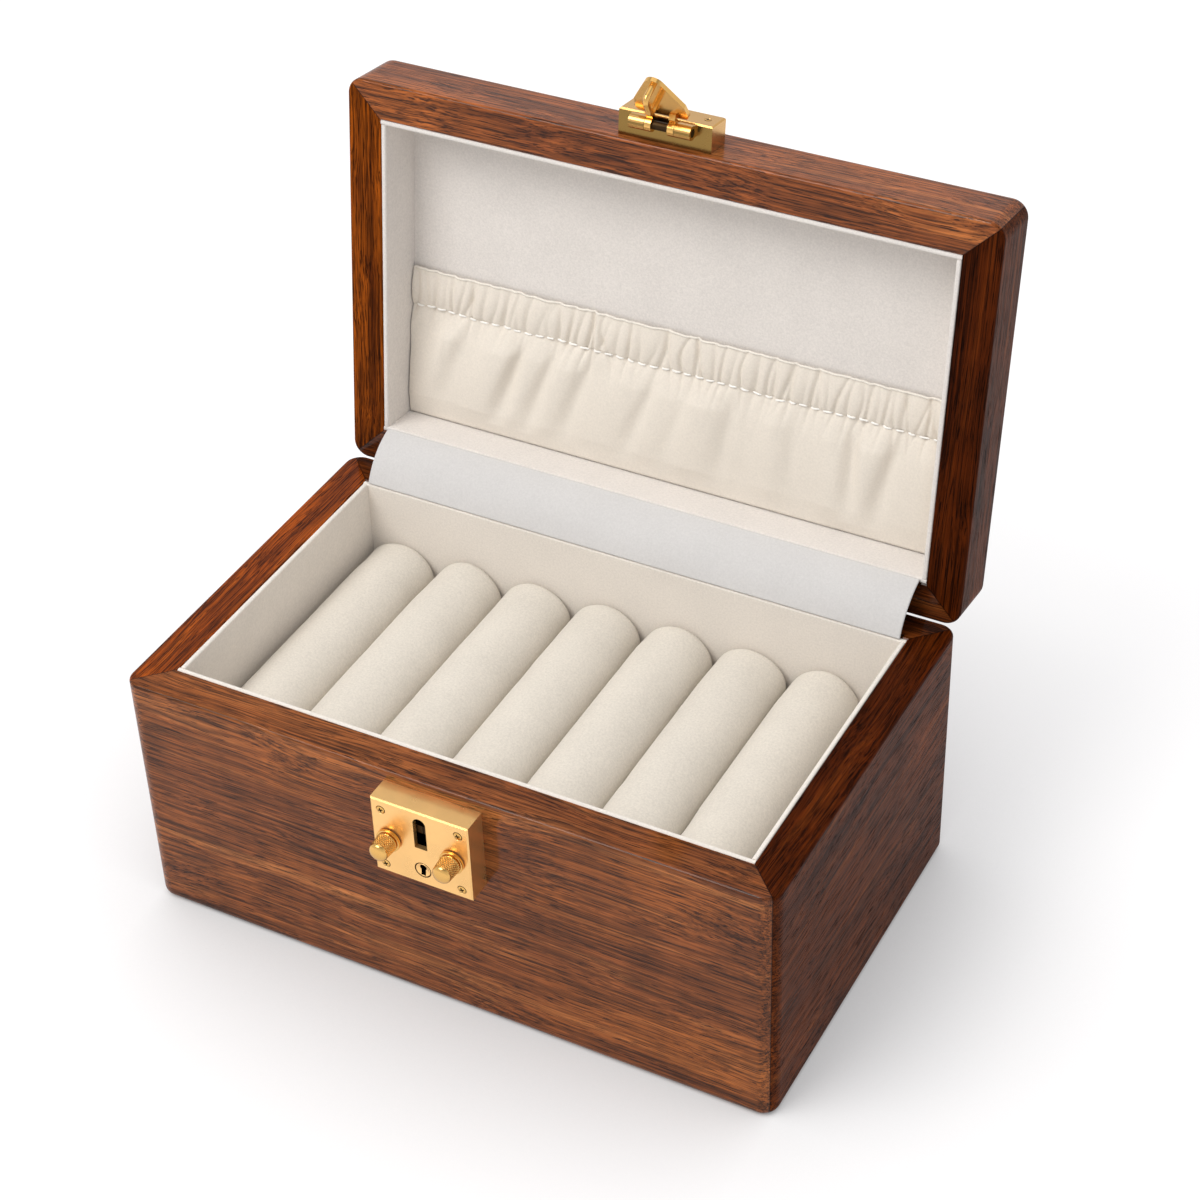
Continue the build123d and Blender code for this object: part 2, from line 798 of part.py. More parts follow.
for name, sign in (("left", -1), ("right", 1)):
    with BuildPart() as latch:
        with BuildSketch(at_depth(latch_back)):
            with BuildLine():
                Polyline(*[(sign * x, z) for x, z in latch_outline], close=True)
            make_face()
            with Locations((sign * knob_offset, knob_z)):
                Circle(latch_pad)
                Circle(spindle_radius, mode=Mode.SUBTRACT)
        extrude(amount=layer_thickness)
    write(latch.part, f"latch_{name}")

    with BuildPart() as knob:
        turn_knob(sign)
    write(knob.part, f"knob_{name}")

    with BuildPart() as latch_spring:
        near = sign * (post_outer + spring_width / 2 + running)
        far = sign * (cavity_width / 2 - spring_width / 2 - running)
        foot, crest = bar_high + spring_foot, nose_high - spring_crest
        with BuildSketch(at_depth(latch_back)):
            with BuildLine():
                FilletPolyline((near, foot), (near, crest), (far, crest), (far, foot), radius=spring_bend)
            trace(line_width=spring_width)
        extrude(amount=layer_thickness)
    write(latch_spring.part, f"latch_spring_{name}")

# Hasp block on the lid, with the two outer knuckles of the hasp's barrel
block_bottom = rim_z + block_above_rim
barrel_z = block_bottom - barrel_radius - barrel_clear
barrel_y = front_y - barrel_outset

with BuildPart() as hasp_block:
    with BuildSketch(at_depth(0)):
        with Locations((0, block_bottom + block_height / 2)):
            Rectangle(block_width, block_height)
    extrude(amount=block_depth)
    chamfer(hasp_block.faces().sort_by(Axis.Y)[0].edges(), block_edge)
    for start in (outer_knuckle[0], -outer_knuckle[1]):
        with BuildSketch(Plane.YZ.offset(start)):
            with Locations((barrel_y, barrel_z)):
                Circle(barrel_radius)
            with Locations((barrel_y, (barrel_z + block_bottom) / 2)):
                Rectangle(knuckle_web, block_bottom - barrel_z)
        extrude(amount=outer_knuckle[1] - outer_knuckle[0])
    with BuildSketch(Plane.YZ.offset(-outer_knuckle[1])):
        with Locations((barrel_y, barrel_z)):
            Circle(hasp_pin_radius)
    extrude(amount=2 * outer_knuckle[1], mode=Mode.SUBTRACT)
    turn_block_screws(screw_fit, Mode.SUBTRACT)
write(opened(hasp_block.part), "hasp_block")

with BuildPart() as hasp_pin:
    with BuildSketch(Plane.YZ.offset(-outer_knuckle[1])):
        with Locations((barrel_y, barrel_z)):
            Circle(hasp_pin_radius)
    extrude(amount=2 * outer_knuckle[1])
write(opened(hasp_pin.part), "hasp_pin")

with BuildPart() as hasp_screws:
    turn_block_screws()
write(opened(hasp_screws.part), "hasp_screws")

# Hasp plate: a shield with two arms, and the staple that goes into the lock's slot
plate_depth = lock_depth + plate_clear
plate_offset = plate_depth - barrel_outset
staple_low = slot_middle - staple_spacing / 2
staple_high = slot_middle + staple_spacing / 2
plate_tip = staple_low - staple_radius - plate_beyond_staple
hasp_axis = Axis((0, barrel_y, barrel_z), (-1, 0, 0))


def hasp_opened(piece):
    """Turn a piece of the hasp from locked to where it stands on the open lid."""
    return opened(piece.rotate(hasp_axis, hasp_open_angle))


cheek_z = barrel_z - cheek_reach
shoulder_z = barrel_z - shoulder_reach
arm_back = barrel_y - arm_set_back
arm_front = barrel_y - plate_offset - arm_lap

with BuildPart() as hasp_plate:
    with BuildSketch(at_depth(plate_depth)) as shield:
        with BuildLine():
            Polyline(
                (-cheek_half, cheek_z),
                (-shoulder_half, shoulder_z),
                (shoulder_half, shoulder_z),
                (cheek_half, cheek_z),
            )
            CenterArc((0, plate_tip + plate_tip_radius), plate_tip_radius, 0, 360)
        make_hull()
        fillet(shield.vertices().group_by(Axis.Y)[-1], plate_shoulder_radius)
    extrude(amount=plate_thickness)
    for start in (hasp_knuckle[0], -hasp_knuckle[1]):
        with BuildSketch(Plane.YZ.offset(start)):
            with Locations((barrel_y, barrel_z)):
                Circle(barrel_radius)
            with BuildLine():
                Polyline(
                    (arm_back, barrel_z),
                    (arm_back, shoulder_z - arm_cheek),
                    (barrel_y - plate_offset + arm_lap, shoulder_z - arm_foot),
                    (arm_front, shoulder_z - arm_foot),
                    (arm_front, shoulder_z),
                    (barrel_y - barrel_radius, shoulder_z),
                    (barrel_y - barrel_radius, barrel_z),
                    close=True,
                )
            make_face()
        extrude(amount=hasp_knuckle[1] - hasp_knuckle[0])
    with BuildSketch(Plane.YZ.offset(-hasp_knuckle[1])):
        with Locations((barrel_y, barrel_z)):
            Circle(hasp_pin_radius + running)
    extrude(amount=2 * hasp_knuckle[1], mode=Mode.SUBTRACT)
write(hasp_opened(hasp_plate.part), "hasp_plate")

with BuildPart() as hasp_staple:
    leg_y = front_y - plate_depth
    end_y = front_y - back_plate - staple_clear - staple_radius
    with BuildLine(Plane.YZ):
        FilletPolyline(
            (leg_y, staple_low),
            (end_y, staple_low),
            (end_y, staple_high),
            (leg_y, staple_high),
            radius=staple_bend,
        )
    with BuildSketch(at_depth(plate_depth)):
        with Locations((0, staple_low)):
            Circle(staple_radius)
    sweep()
write(hasp_opened(hasp_staple.part), "hasp_staple")
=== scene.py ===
import json
import math

import bmesh
import bpy
import numpy as np
from mathutils import Matrix, Vector


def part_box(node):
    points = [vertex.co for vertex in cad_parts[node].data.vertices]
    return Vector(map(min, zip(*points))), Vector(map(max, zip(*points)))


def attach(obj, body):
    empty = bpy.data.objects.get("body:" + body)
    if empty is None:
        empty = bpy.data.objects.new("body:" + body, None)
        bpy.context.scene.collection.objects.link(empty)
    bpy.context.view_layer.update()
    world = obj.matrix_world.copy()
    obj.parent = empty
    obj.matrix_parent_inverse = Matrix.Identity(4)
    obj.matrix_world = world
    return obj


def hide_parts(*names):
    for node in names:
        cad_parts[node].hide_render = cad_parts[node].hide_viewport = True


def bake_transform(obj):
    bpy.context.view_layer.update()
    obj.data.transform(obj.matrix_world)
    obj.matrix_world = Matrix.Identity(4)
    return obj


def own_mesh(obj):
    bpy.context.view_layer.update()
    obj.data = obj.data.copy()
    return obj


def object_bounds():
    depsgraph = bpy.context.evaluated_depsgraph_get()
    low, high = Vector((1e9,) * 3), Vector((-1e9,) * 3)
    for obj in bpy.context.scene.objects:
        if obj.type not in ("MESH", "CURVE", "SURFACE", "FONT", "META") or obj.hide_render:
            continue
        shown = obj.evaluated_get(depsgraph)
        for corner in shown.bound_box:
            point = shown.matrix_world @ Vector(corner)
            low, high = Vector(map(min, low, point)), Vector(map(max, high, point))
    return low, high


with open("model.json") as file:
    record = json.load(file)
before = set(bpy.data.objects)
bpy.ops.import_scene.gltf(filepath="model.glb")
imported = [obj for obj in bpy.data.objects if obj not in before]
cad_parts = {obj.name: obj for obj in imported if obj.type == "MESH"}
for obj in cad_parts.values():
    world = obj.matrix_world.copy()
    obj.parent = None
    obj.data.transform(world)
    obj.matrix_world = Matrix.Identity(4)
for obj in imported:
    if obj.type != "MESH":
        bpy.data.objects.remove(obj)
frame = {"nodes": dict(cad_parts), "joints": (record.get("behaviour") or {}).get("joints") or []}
cad_box = [list(corner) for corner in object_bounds()]
nodes = frame["nodes"]
joints = {joint["name"]: joint for joint in frame["joints"]}

MM = 0.001

# Camera, in degrees and metres, with its focal length and sensor in millimetres
CAMERA_AZIMUTH = 29.04
CAMERA_ELEVATION = 38.10
CAMERA_ROLL = -2.12
CAMERA_TARGET = Vector((-0.0026, 0.0458, 0.0879))
CAMERA_DISTANCE = 0.950
FOCAL_LENGTH = 81.45
SENSOR_WIDTH = 36.0

# The lid is drawn shut and then turned open with the same turn as its hinge
hinge = Vector(joints["lid_hinge"]["pos_m"])
open_angle = -math.radians(joints["lid_hinge"]["range_deg"][0])
LID_TURN = (
    Matrix.Translation(hinge)
    @ Matrix.Rotation(open_angle, 4, Vector(joints["lid_hinge"]["axis"]))
    @ Matrix.Translation(-hinge)
)


def shut_box(node):
    """Lowest and highest corner of a node of the lid, as it lies when the lid is shut."""
    back = LID_TURN.inverted()
    corners = np.array([back @ v.co for v in nodes[node].data.vertices])
    return Vector(corners.min(0)), Vector(corners.max(0))


# Shader nodes


def add(tree, kind, inputs=(), **settings):
    """Add a shader node. Its inputs are values or sockets of other nodes."""
    made = tree.nodes.new("ShaderNode" + kind)
    for name, value in settings.items():
        setattr(made, name, value)
    for name, value in dict(inputs).items():
        if isinstance(value, bpy.types.NodeSocket):
            tree.links.new(value, made.inputs[name])
        else:
            made.inputs[name].default_value = value
    return made


def maths(tree, operation, first, second=0.0, third=0.0):
    return add(tree, "Math", {0: first, 1: second, 2: third}, operation=operation).outputs[0]


def ramp(tree, factor, stops):
    """A colour ramp with (place, colour) stops. A grey stop can be a single number."""
    made = add(tree, "ValToRGB", {"Fac": factor})
    elements = made.color_ramp.elements
    while len(elements) < len(stops):
        elements.new(1.0)
    for element, (place, colour) in zip(elements, stops):
        element.position = place
        element.color = (*colour, 1) if isinstance(colour, tuple) else (colour,) * 3 + (1,)
    return made.outputs["Color"]


def mix(tree, factor, first, second, blend="MIX"):
    made = add(tree, "Mix", data_type="RGBA", blend_type=blend)
    for socket, value in ((made.inputs[0], factor), (made.inputs[6], first), (made.inputs[7], second)):
        if isinstance(value, bpy.types.NodeSocket):
            tree.links.new(value, socket)
        else:
            socket.default_value = (*value, 1) if isinstance(value, tuple) else value
    return made.outputs[2]


def noise(tree, place, scale, detail=3.0, roughness=0.55, distortion=0.0):
    values = {"Vector": place, "Scale": scale, "Detail": detail, "Roughness": roughness,
              "Distortion": distortion}
    return add(tree, "TexNoise", values).outputs["Fac"]


def stretched(tree, place, scale, shift=(0, 0, 0)):
    """Place scaled by different amounts along its three axes."""
    return add(tree, "Mapping", {"Vector": place, "Scale": scale, "Location": shift}).outputs[0]


def bump(tree, height, distance, strength=1.0, under=None):
    inputs = {"Height": height, "Distance": distance, "Strength": strength}
    if under is not None:
        inputs["Normal"] = under
    return add(tree, "Bump", inputs).outputs[0]


def new_material(name):
    """A material with its node tree, its surface shader and the object's own coordinates."""
    material = bpy.data.materials.new(name)
    material.use_nodes = True
    tree = material.node_tree
    shader = tree.nodes["Principled BSDF"]
    place = add(tree, "TexCoord").outputs["Object"]
    return material, tree, shader, place


def connect(tree, shader, **sockets):
    for name, value in sockets.items():
        tree.links.new(value, shader.inputs[name.replace("_", " ")])


def in_shut_lid(tree, place):
    """Coordinates of the shut lid, for a piece that is drawn open."""
    values = {"Vector": place, "Center": hinge, "Angle": open_angle}
    return add(tree, "VectorRotate", values, rotation_type="X_AXIS").outputs[0]


# Walnut, in linear colours from the darkest pores to the orange streaks
WALNUT_PORE = (0.014, 0.004, 0.002)
WALNUT_DARK = (0.062, 0.015, 0.004)
WALNUT_MID = (0.182, 0.050, 0.012)
WALNUT_LIGHT = (0.335, 0.114, 0.031)
WALNUT_ORANGE = (0.325, 0.092, 0.016)


def walnut(name, grain, seed, lid=False, tint=(1, 1, 1), rim=(1, 1, 1), coat=0.0, mitred=True):
    """Satin walnut whose grain runs along an axis of the case. tint multiplies the whole board and rim tints
    the edge where the case and the lid meet;
    on several boards these tints are painted shade. mitred draws dark lines where two boards meet at a
    corner."""
    material, tree, shader, place = new_material(name)
    if lid:
        place = in_shut_lid(tree, place)
    split = add(tree, "SeparateXYZ", {0: place})
    x, y, z = split.outputs
    along, across = (x, y) if grain == "X" else (y, x)
    board = add(tree, "CombineXYZ", {0: along, 1: across, 2: z}).outputs[0]
    board = add(tree, "VectorMath", {0: board, 1: (0.37 * seed, 0.53 * seed, 0.71 * seed)},
                operation="ADD").outputs[0]
    # The whole figure wanders slowly along the board
    drift = noise(tree, stretched(tree, board, (7, 26, 26)), 1.0, 2.0)
    drift = maths(tree, "MULTIPLY", maths(tree, "SUBTRACT", drift, 0.5), 0.015)
    wander = add(tree, "CombineXYZ", {0: 0.0, 1: drift, 2: drift}).outputs[0]
    flow = add(tree, "VectorMath", {0: board, 1: wander}, operation="ADD").outputs[0]
    bands = noise(tree, stretched(tree, flow, (4, 110, 110)), 1.0, 6.0, 0.72)
    streaks = noise(tree, stretched(tree, flow, (13, 1200, 1200)), 1.0, 4.0, 0.7)
    ticks = noise(tree, stretched(tree, flow, (95, 2900, 2900)), 1.0, 2.0, 0.5)
    patches = noise(tree, stretched(tree, board, (10, 34, 34)), 1.0, 2.0)
    shimmer = noise(tree, stretched(tree, board, (70, 16, 16)), 1.0, 2.0)
    colour = ramp(tree, bands, [(0.34, WALNUT_DARK), (0.47, WALNUT_MID), (0.54, WALNUT_MID),
                                (0.67, WALNUT_LIGHT)])
    warm = ramp(tree, patches, [(0.48, 0.0), (0.68, 1.0)])
    colour = mix(tree, maths(tree, "MULTIPLY", warm, 0.55), colour, WALNUT_ORANGE)
    fine = ramp(tree, streaks, [(0.36, 0.26), (0.50, 1.0), (0.64, 1.75)])
    colour = mix(tree, 1.0, colour, fine, "MULTIPLY")
    glow = ramp(tree, shimmer, [(0.3, 0.86), (0.7, 1.16)])
    colour = mix(tree, 1.0, colour, glow, "MULTIPLY")
    crowd = ramp(tree, bands, [(0.35, 0.06), (0.6, 0.0)])
    pores = ramp(tree, maths(tree, "ADD", ticks, crowd), [(0.59, 0.0), (0.65, 1.0)])
    colour = mix(tree, maths(tree, "MULTIPLY", pores, 0.85), colour, WALNUT_PORE)
    # The mitre runs where the distances to two neighbouring sides are the same
    half_difference = (cad_box[1][0] - cad_box[0][0] - BOX_DEPTH) / 2
    reach = maths(tree, "SUBTRACT", maths(tree, "ABSOLUTE", x), maths(tree, "ABSOLUTE", y))
    mitre = maths(tree, "ABSOLUTE", maths(tree, "SUBTRACT", reach, half_difference))
    line = ramp(tree, maths(tree, "MULTIPLY", mitre, 1000), [(0.15, 1.0), (0.40, 0.0)])
    if mitred:
        colour = mix(tree, maths(tree, "MULTIPLY", line, 0.70), colour, WALNUT_PORE)
    # The board tint, which on the right boards is painted shade
    colour = mix(tree, 1.0, colour, tint, "MULTIPLY")
    # The rim tint on a band at the rim height, which on the right, front and back boards is painted shade
    from_rim = maths(tree, "ABSOLUTE", maths(tree, "SUBTRACT", z, RIM_HEIGHT))
    at_rim = ramp(tree, maths(tree, "MULTIPLY", from_rim, 100), [(0.10, 1.0), (0.28, 0.0)])
    colour = mix(tree, 1.0, colour, mix(tree, at_rim, (1.0, 1.0, 1.0), rim), "MULTIPLY")
    rough = ramp(tree, pores, [(0.0, 0.38), (1.0, 0.62)])
    relief = maths(tree, "SUBTRACT", streaks, maths(tree, "MULTIPLY", pores, 1.2))
    normal = bump(tree, relief, 0.00006, 0.5)
    connect(tree, shader, Base_Color=colour, Roughness=rough, Normal=normal)
    shader.inputs["Specular IOR Level"].default_value = 0.03
    shader.inputs["Coat Weight"].default_value = coat
    shader.inputs["Coat Roughness"].default_value = 0.09
    return material


def brass(name, roughness, brush, colour, metallic=1.0):
    """Brass with fine brush marks and a slightly uneven polish."""
    material, tree, shader, place = new_material(name)
    marks = noise(tree, stretched(tree, place, (300, 2400, 9000)), 1.0, 2.0)
    cloud = noise(tree, place, 140.0, 3.0)
    tint = ramp(tree, cloud, [(0.3, tuple(0.93 * c for c in colour)), (0.7, colour)])
    low, high = roughness * 0.85, roughness * 1.2
    rough = ramp(tree, cloud, [(0.3, low), (0.7, high)])
    normal = bump(tree, marks, 0.000001, brush)
    connect(tree, shader, Base_Color=tint, Roughness=rough, Normal=normal)
    shader.inputs["Metallic"].default_value = metallic
    return material


def suede(name, colour, nap=0.05, grain=1300.0):
    """Short-napped cloth: a soft mottle, a fine nap and a bright sheen at its edges."""
    material, tree, shader, place = new_material(name)
    mottle = noise(tree, place, 60.0, 3.0)
    fine = noise(tree, place, grain, 4.0, 0.7)
    shade = maths(tree, "ADD", maths(tree, "MULTIPLY", mottle, 0.2), maths(tree, "MULTIPLY", fine, 0.8))
    tint = ramp(tree, shade, [(0.36, tuple(c * (1 - nap) for c in colour)),
                              (0.64, tuple(min(1.0, c * (1 + nap)) for c in colour))])
    fuzz = bump(tree, fine, 0.00012, 0.35)
    connect(tree, shader, Base_Color=tint, Normal=fuzz)
    shader.inputs["Roughness"].default_value = 0.92
    shader.inputs["Specular IOR Level"].default_value = 0.15
    shader.inputs["Sheen Weight"].default_value = 0.25
    shader.inputs["Sheen Roughness"].default_value = 0.45
    return material


def plain_metal(name, colour, roughness):
    material, tree, shader, place = new_material(name)
    drawn = noise(tree, stretched(tree, place, (4000, 4000, 400)), 1.0, 2.0)
    tint = ramp(tree, drawn, [(0.3, tuple(0.85 * c for c in colour)), (0.7, colour)])
    connect(tree, shader, Base_Color=tint, Normal=bump(tree, drawn, 0.00001, 0.3))
    shader.inputs["Metallic"].default_value = 1.0
    shader.inputs["Roughness"].default_value = roughness
    return material


def wear(node, material):
    """Give a CAD node its material, shaded smooth between its sharp edges."""
    mesh = nodes[node].data
    mesh.materials.clear()
    mesh.materials.append(material)
    mesh.polygons.foreach_set("use_smooth", [True] * len(mesh.polygons))
    mesh.set_sharp_from_angle(angle=math.radians(30))


def soften(node, width):
    """Round the sharp edges of a CAD node a little, so that they catch the light."""
    bevel = nodes[node].modifiers.new("edge", "BEVEL")
    bevel.width = width
    bevel.segments = 2
    bevel.limit_method = "ANGLE"
    bevel.angle_limit = math.radians(40)


# Wood
BOX_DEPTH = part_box("base_back")[1].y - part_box("base_front")[0].y
RIM_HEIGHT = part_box("base_front")[1].z
# Tints of single boards and of the rims, as factors of red, green and blue. Some are painted shade: the right
# boards, and the rims of the right, front and back boards
# Painted shade on the right boards, which face away from the key lamp; it also warms their tone
RIGHT_BOARD_PAINTED_SHADE = (0.48, 0.37, 0.25)
AMBER = (0.95, 0.84, 0.62)
LID_AMBER = (1.08, 1.12, 0.80)
# Painted shade on the rims of the right boards
SHADED_RIM = (0.58, 0.47, 0.33)
AMBER_RIM = (1.08, 0.82, 0.30)
# Painted shade that darkens the top of the front board against its front face
FRONT_RIM_PAINTED_SHADE = (0.74, 0.72, 0.74)
# Painted shade on the rims of the back boards, next to the hinge where the lid meets the case
HINGE_RIM_PAINTED_SHADE = (0.45, 0.38, 0.30)

wear("base_front", walnut("walnut_base_front", "X", 1.0, rim=FRONT_RIM_PAINTED_SHADE, coat=0.4))
wear("base_back", walnut("walnut_base_back", "X", 2.3, rim=HINGE_RIM_PAINTED_SHADE, coat=0.4))
wear("base_left", walnut("walnut_base_left", "Y", 3.1, tint=AMBER, rim=AMBER_RIM, coat=0.2))
wear("base_right", walnut("walnut_base_right", "Y", 4.7, tint=RIGHT_BOARD_PAINTED_SHADE, rim=SHADED_RIM))
wear("base_floor", walnut("walnut_base_floor", "X", 5.2, mitred=False))
wear("lid_front", walnut("walnut_lid_front", "X", 6.4, lid=True, tint=(1.16, 1.10, 1.02), coat=0.4))
wear("lid_back", walnut("walnut_lid_back", "X", 7.9, lid=True, rim=HINGE_RIM_PAINTED_SHADE, coat=0.4))
wear("lid_left", walnut("walnut_lid_left", "Y", 8.5, lid=True, tint=LID_AMBER, rim=AMBER_RIM))
wear("lid_right", walnut("walnut_lid_right", "Y", 9.6, lid=True, tint=RIGHT_BOARD_PAINTED_SHADE, rim=SHADED_RIM))
wear("lid_panel", walnut("walnut_lid_panel", "X", 10.8, lid=True, coat=0.4, mitred=False))

# Linings
cool_suede = suede("suede_lid", (0.76, 0.715, 0.675), nap=0.08)
warm_suede = suede("suede_base", (0.80, 0.745, 0.68), nap=0.07)
for side in ("front", "back", "left", "right"):
    wear(f"lining_{side}", warm_suede)
    wear(f"lid_lining_{side}", cool_suede)
wear("lining_floor", warm_suede)
wear("lid_lining_panel", cool_suede)
wear("rail_front", warm_suede)
wear("rail_back", warm_suede)
roll_cloth = suede("suede_rolls", (0.70, 0.65, 0.575), nap=0.09)
pocket_cloth = suede("cloth_pocket", (0.79, 0.725, 0.64), nap=0.05)
strip_cloth = suede("cloth_strip", (0.63, 0.615, 0.605))
# The hem's cloth is lighter than the pocket's, partly as a painted highlight along the rolled edge
hem_cloth_painted_highlight = suede("cloth_hem_painted_highlight", (0.84, 0.79, 0.71))
thread = suede("thread", (0.97, 0.94, 0.90), grain=2500.0)
elastic_weave = suede("elastic_weave", (0.74, 0.69, 0.62), grain=1800.0)
felt_cloth = suede("felt", (0.10, 0.07, 0.05), nap=0.2)

# Brass and steel
satin = brass("brass_satin", 0.30, 0.12, (1.0, 0.61, 0.24), metallic=0.86)
polished = brass("brass_polished", 0.18, 0.04, (0.77, 0.45, 0.14))
aged = brass("brass_aged", 0.22, 0.08, (0.66, 0.38, 0.125))
painted_shade_brass = brass("brass_painted_shade", 0.24, 0.08, (0.27, 0.165, 0.050))
# Near-black metal for pieces seen only through slots and gaps: painted shade
inner_painted_shade = plain_metal("brass_inner_painted_shade", (0.050, 0.030, 0.014), 0.45)
# Near black for grooves, slots and keyholes: painted shade
recess_painted_shade = plain_metal("brass_recess_painted_shade", (0.016, 0.010, 0.006), 0.6)
for node in ("lock_case", "hinge_base_leaves", "hinge_lid_leaves"):
    wear(node, satin)
wear("hasp_block", aged)
# The face of the hasp block that looks down when the lid is shut is darker brass: painted shade
nodes["hasp_block"].data.materials.append(painted_shade_brass)
for face in nodes["hasp_block"].data.polygons:
    if (LID_TURN.inverted().to_3x3() @ face.normal).z < -0.97:
        face.material_index = 1
for node in ("hasp_plate", "hasp_staple", "hinge_pins", "hinge_base_screws", "hinge_lid_screws"):
    wear(node, polished)
# The pieces inside the lock and the hasp pin are near black, painted shade where they show through slots and
# gaps
for node in ("lock_back_plate", "lock_bolt", "latch_left", "latch_right", "hasp_pin"):
    wear(node, inner_painted_shade)
for node, width in (("hasp_block", 0.22 * MM), ("hasp_plate", 0.30 * MM), ("hasp_staple", 0.25 * MM)):
    soften(node, width)
steel = plain_metal("spring_steel", (0.60, 0.60, 0.62), 0.3)


# Shapes


def new_object(name, points, faces, material, smooth=True):
    mesh = bpy.data.meshes.new(name)
    mesh.from_pydata([tuple(p) for p in points], [], faces)
    mesh.materials.append(material)
    mesh.polygons.foreach_set("use_smooth", [smooth] * len(mesh.polygons))
    made = bpy.data.objects.new(name, mesh)
    bpy.context.scene.collection.objects.link(made)
    return made


def grid_faces(rows, columns, wrap=False):
    """Quads of a grid of points that is stored row by row. wrap joins the last column to the first."""
    faces = []
    for row in range(rows - 1):
        for column in range(columns if wrap else columns - 1):
            beside = (column + 1) % columns
            start = row * columns
            faces.append((start + column, start + beside, start + columns + beside, start + columns + column))
    return faces


def lathe(name, profile, material, steps, surface=None):
    """Turn a profile of (radius, height) pairs about Z. The first and last radius are 0.
    surface changes each radius by the angle and the number of the ring."""
    turns = np.linspace(0, 2 * np.pi, steps, endpoint=False)
    points = [(0, 0, profile[0][1])]
    for number, (radius, height) in enumerate(profile[1:-1]):
        rings = radius + (surface(turns, number, height) if surface else 0 * turns)
        points += list(zip(rings * np.cos(turns), rings * np.sin(turns), np.full(steps, height)))
    points.append((0, 0, profile[-1][1]))
    rings = len(profile) - 2
    faces = [tuple(1 + index for index in face) for face in grid_faces(rings, steps, wrap=True)]
    last = len(points) - 1
    for step in range(steps):
        beside = (step + 1) % steps
        faces.append((0, 1 + beside, 1 + step))
        faces.append((last, last - steps + step, last - steps + beside))
    return new_object(name, points, faces, material)


def sharpen(mesh, angle=35):
    """Shade smooth between the edges that are sharper than an angle."""
    mesh.polygons.foreach_set("use_smooth", [True] * len(mesh.polygons))
    mesh.set_sharp_from_angle(angle=math.radians(angle))


def place_along(made, place, direction):
    """Stand an object that was made along Z at a place, along a direction."""
    turn = Vector(direction).to_track_quat("Z", "Y").to_matrix().to_4x4()
    made.data.transform(Matrix.Translation(place) @ turn)
    return made


def carve(made, cutter):
    """Cut one mesh out of another, and remove the one that cuts. The cut faces keep its material."""
    modifier = made.modifiers.new("cut", "BOOLEAN")
    modifier.object = cutter
    modifier.solver = "EXACT"
    modifier.material_mode = "TRANSFER"
    cut = bpy.data.meshes.new_from_object(made.evaluated_get(bpy.context.evaluated_depsgraph_get()))
    made.modifiers.clear()
    made.data = cut
    bpy.data.objects.remove(cutter)


def join(name, pieces):
    """One object from several that share their materials."""
    form = bmesh.new()
    for piece in pieces:
        form.from_mesh(piece.data)
    mesh = bpy.data.meshes.new(name)
    form.to_mesh(mesh)
    form.free()
    for material in pieces[0].data.materials:
        mesh.materials.append(material)
    for piece in pieces:
        bpy.data.objects.remove(piece)
    made = bpy.data.objects.new(name, mesh)
    bpy.context.scene.collection.objects.link(made)
    return made


def rectangle(width, height, x=0.0, y=0.0):
    return [(x + a * width / 2, y + b * height / 2) for a, b in ((-1, -1), (1, -1), (1, 1), (-1, 1))]


def arc(radius, start, end, steps, x=0.0, y=0.0):
    turns = np.linspace(start, end, steps)
    return [(x + radius * math.cos(turn), y + radius * math.sin(turn)) for turn in turns]


def prism(name, outline, low, high, material):
    """A closed solid with an outline in XY, between two heights."""
    count = len(outline)
    points = [(x, y, z) for z in (low, high) for x, y in outline]
    faces = [tuple(range(count))[::-1], tuple(range(count, 2 * count))]
    for first in range(count):
        second = (first + 1) % count
        faces.append((first, second, count + second, count + first))
    return new_object(name, points, faces, material, smooth=False)


def ripple(rng, along, across, count, wave, size):
    """A smooth uneven surface from waves of about one length in every direction."""
    total = np.zeros(np.broadcast(along, across).shape)
    for _ in range(count):
        turn, phase = rng.uniform(0, 2 * np.pi, 2)
        k = 2 * np.pi / (wave * rng.uniform(0.7, 1.5))
        total = total + np.sin(k * (np.cos(turn) * along + np.sin(turn) * across) + phase)
    return total * size / math.sqrt(count / 2)


def coordinates(mesh):
    flat = np.empty(len(mesh.vertices) * 3)
    mesh.vertices.foreach_get("co", flat)
    return flat.reshape(-1, 3)


def set_coordinates(mesh, points):
    mesh.vertices.foreach_set("co", np.asarray(points, float).ravel())
    mesh.update()


SWELL_FRAMES = 20


def swell(made, pressure, most):
    """Swell a padded piece under air pressure. No point moves further than most from its place."""
    before = coordinates(made.data)
    cloth = made.modifiers.new("swell", "CLOTH")
    cloth.settings.use_pressure = True
    cloth.settings.uniform_pressure_force = pressure
    cloth.settings.effector_weights.gravity = 0
    cloth.point_cache.frame_start, cloth.point_cache.frame_end = 1, SWELL_FRAMES
    for number in range(1, SWELL_FRAMES + 1):
        bpy.context.scene.frame_set(number)
    after = coordinates(made.evaluated_get(bpy.context.evaluated_depsgraph_get()).data)
    bpy.context.scene.frame_set(1)
    made.modifiers.clear()
    move = after - before
    length = np.linalg.norm(move, axis=1, keepdims=True)
    set_coordinates(made.data, before + move * np.minimum(1, most / np.maximum(length, 1e-9)))


# Rolls: one padded tube is swelled, and copies of it are turned and laid in the seven places

ROLL_ROUNDING = 4.2 * MM
ROLL_INSET = 0.5 * MM
ROLL_PRESSURE = 4.0
ROLL_SWELL = 0.8 * MM


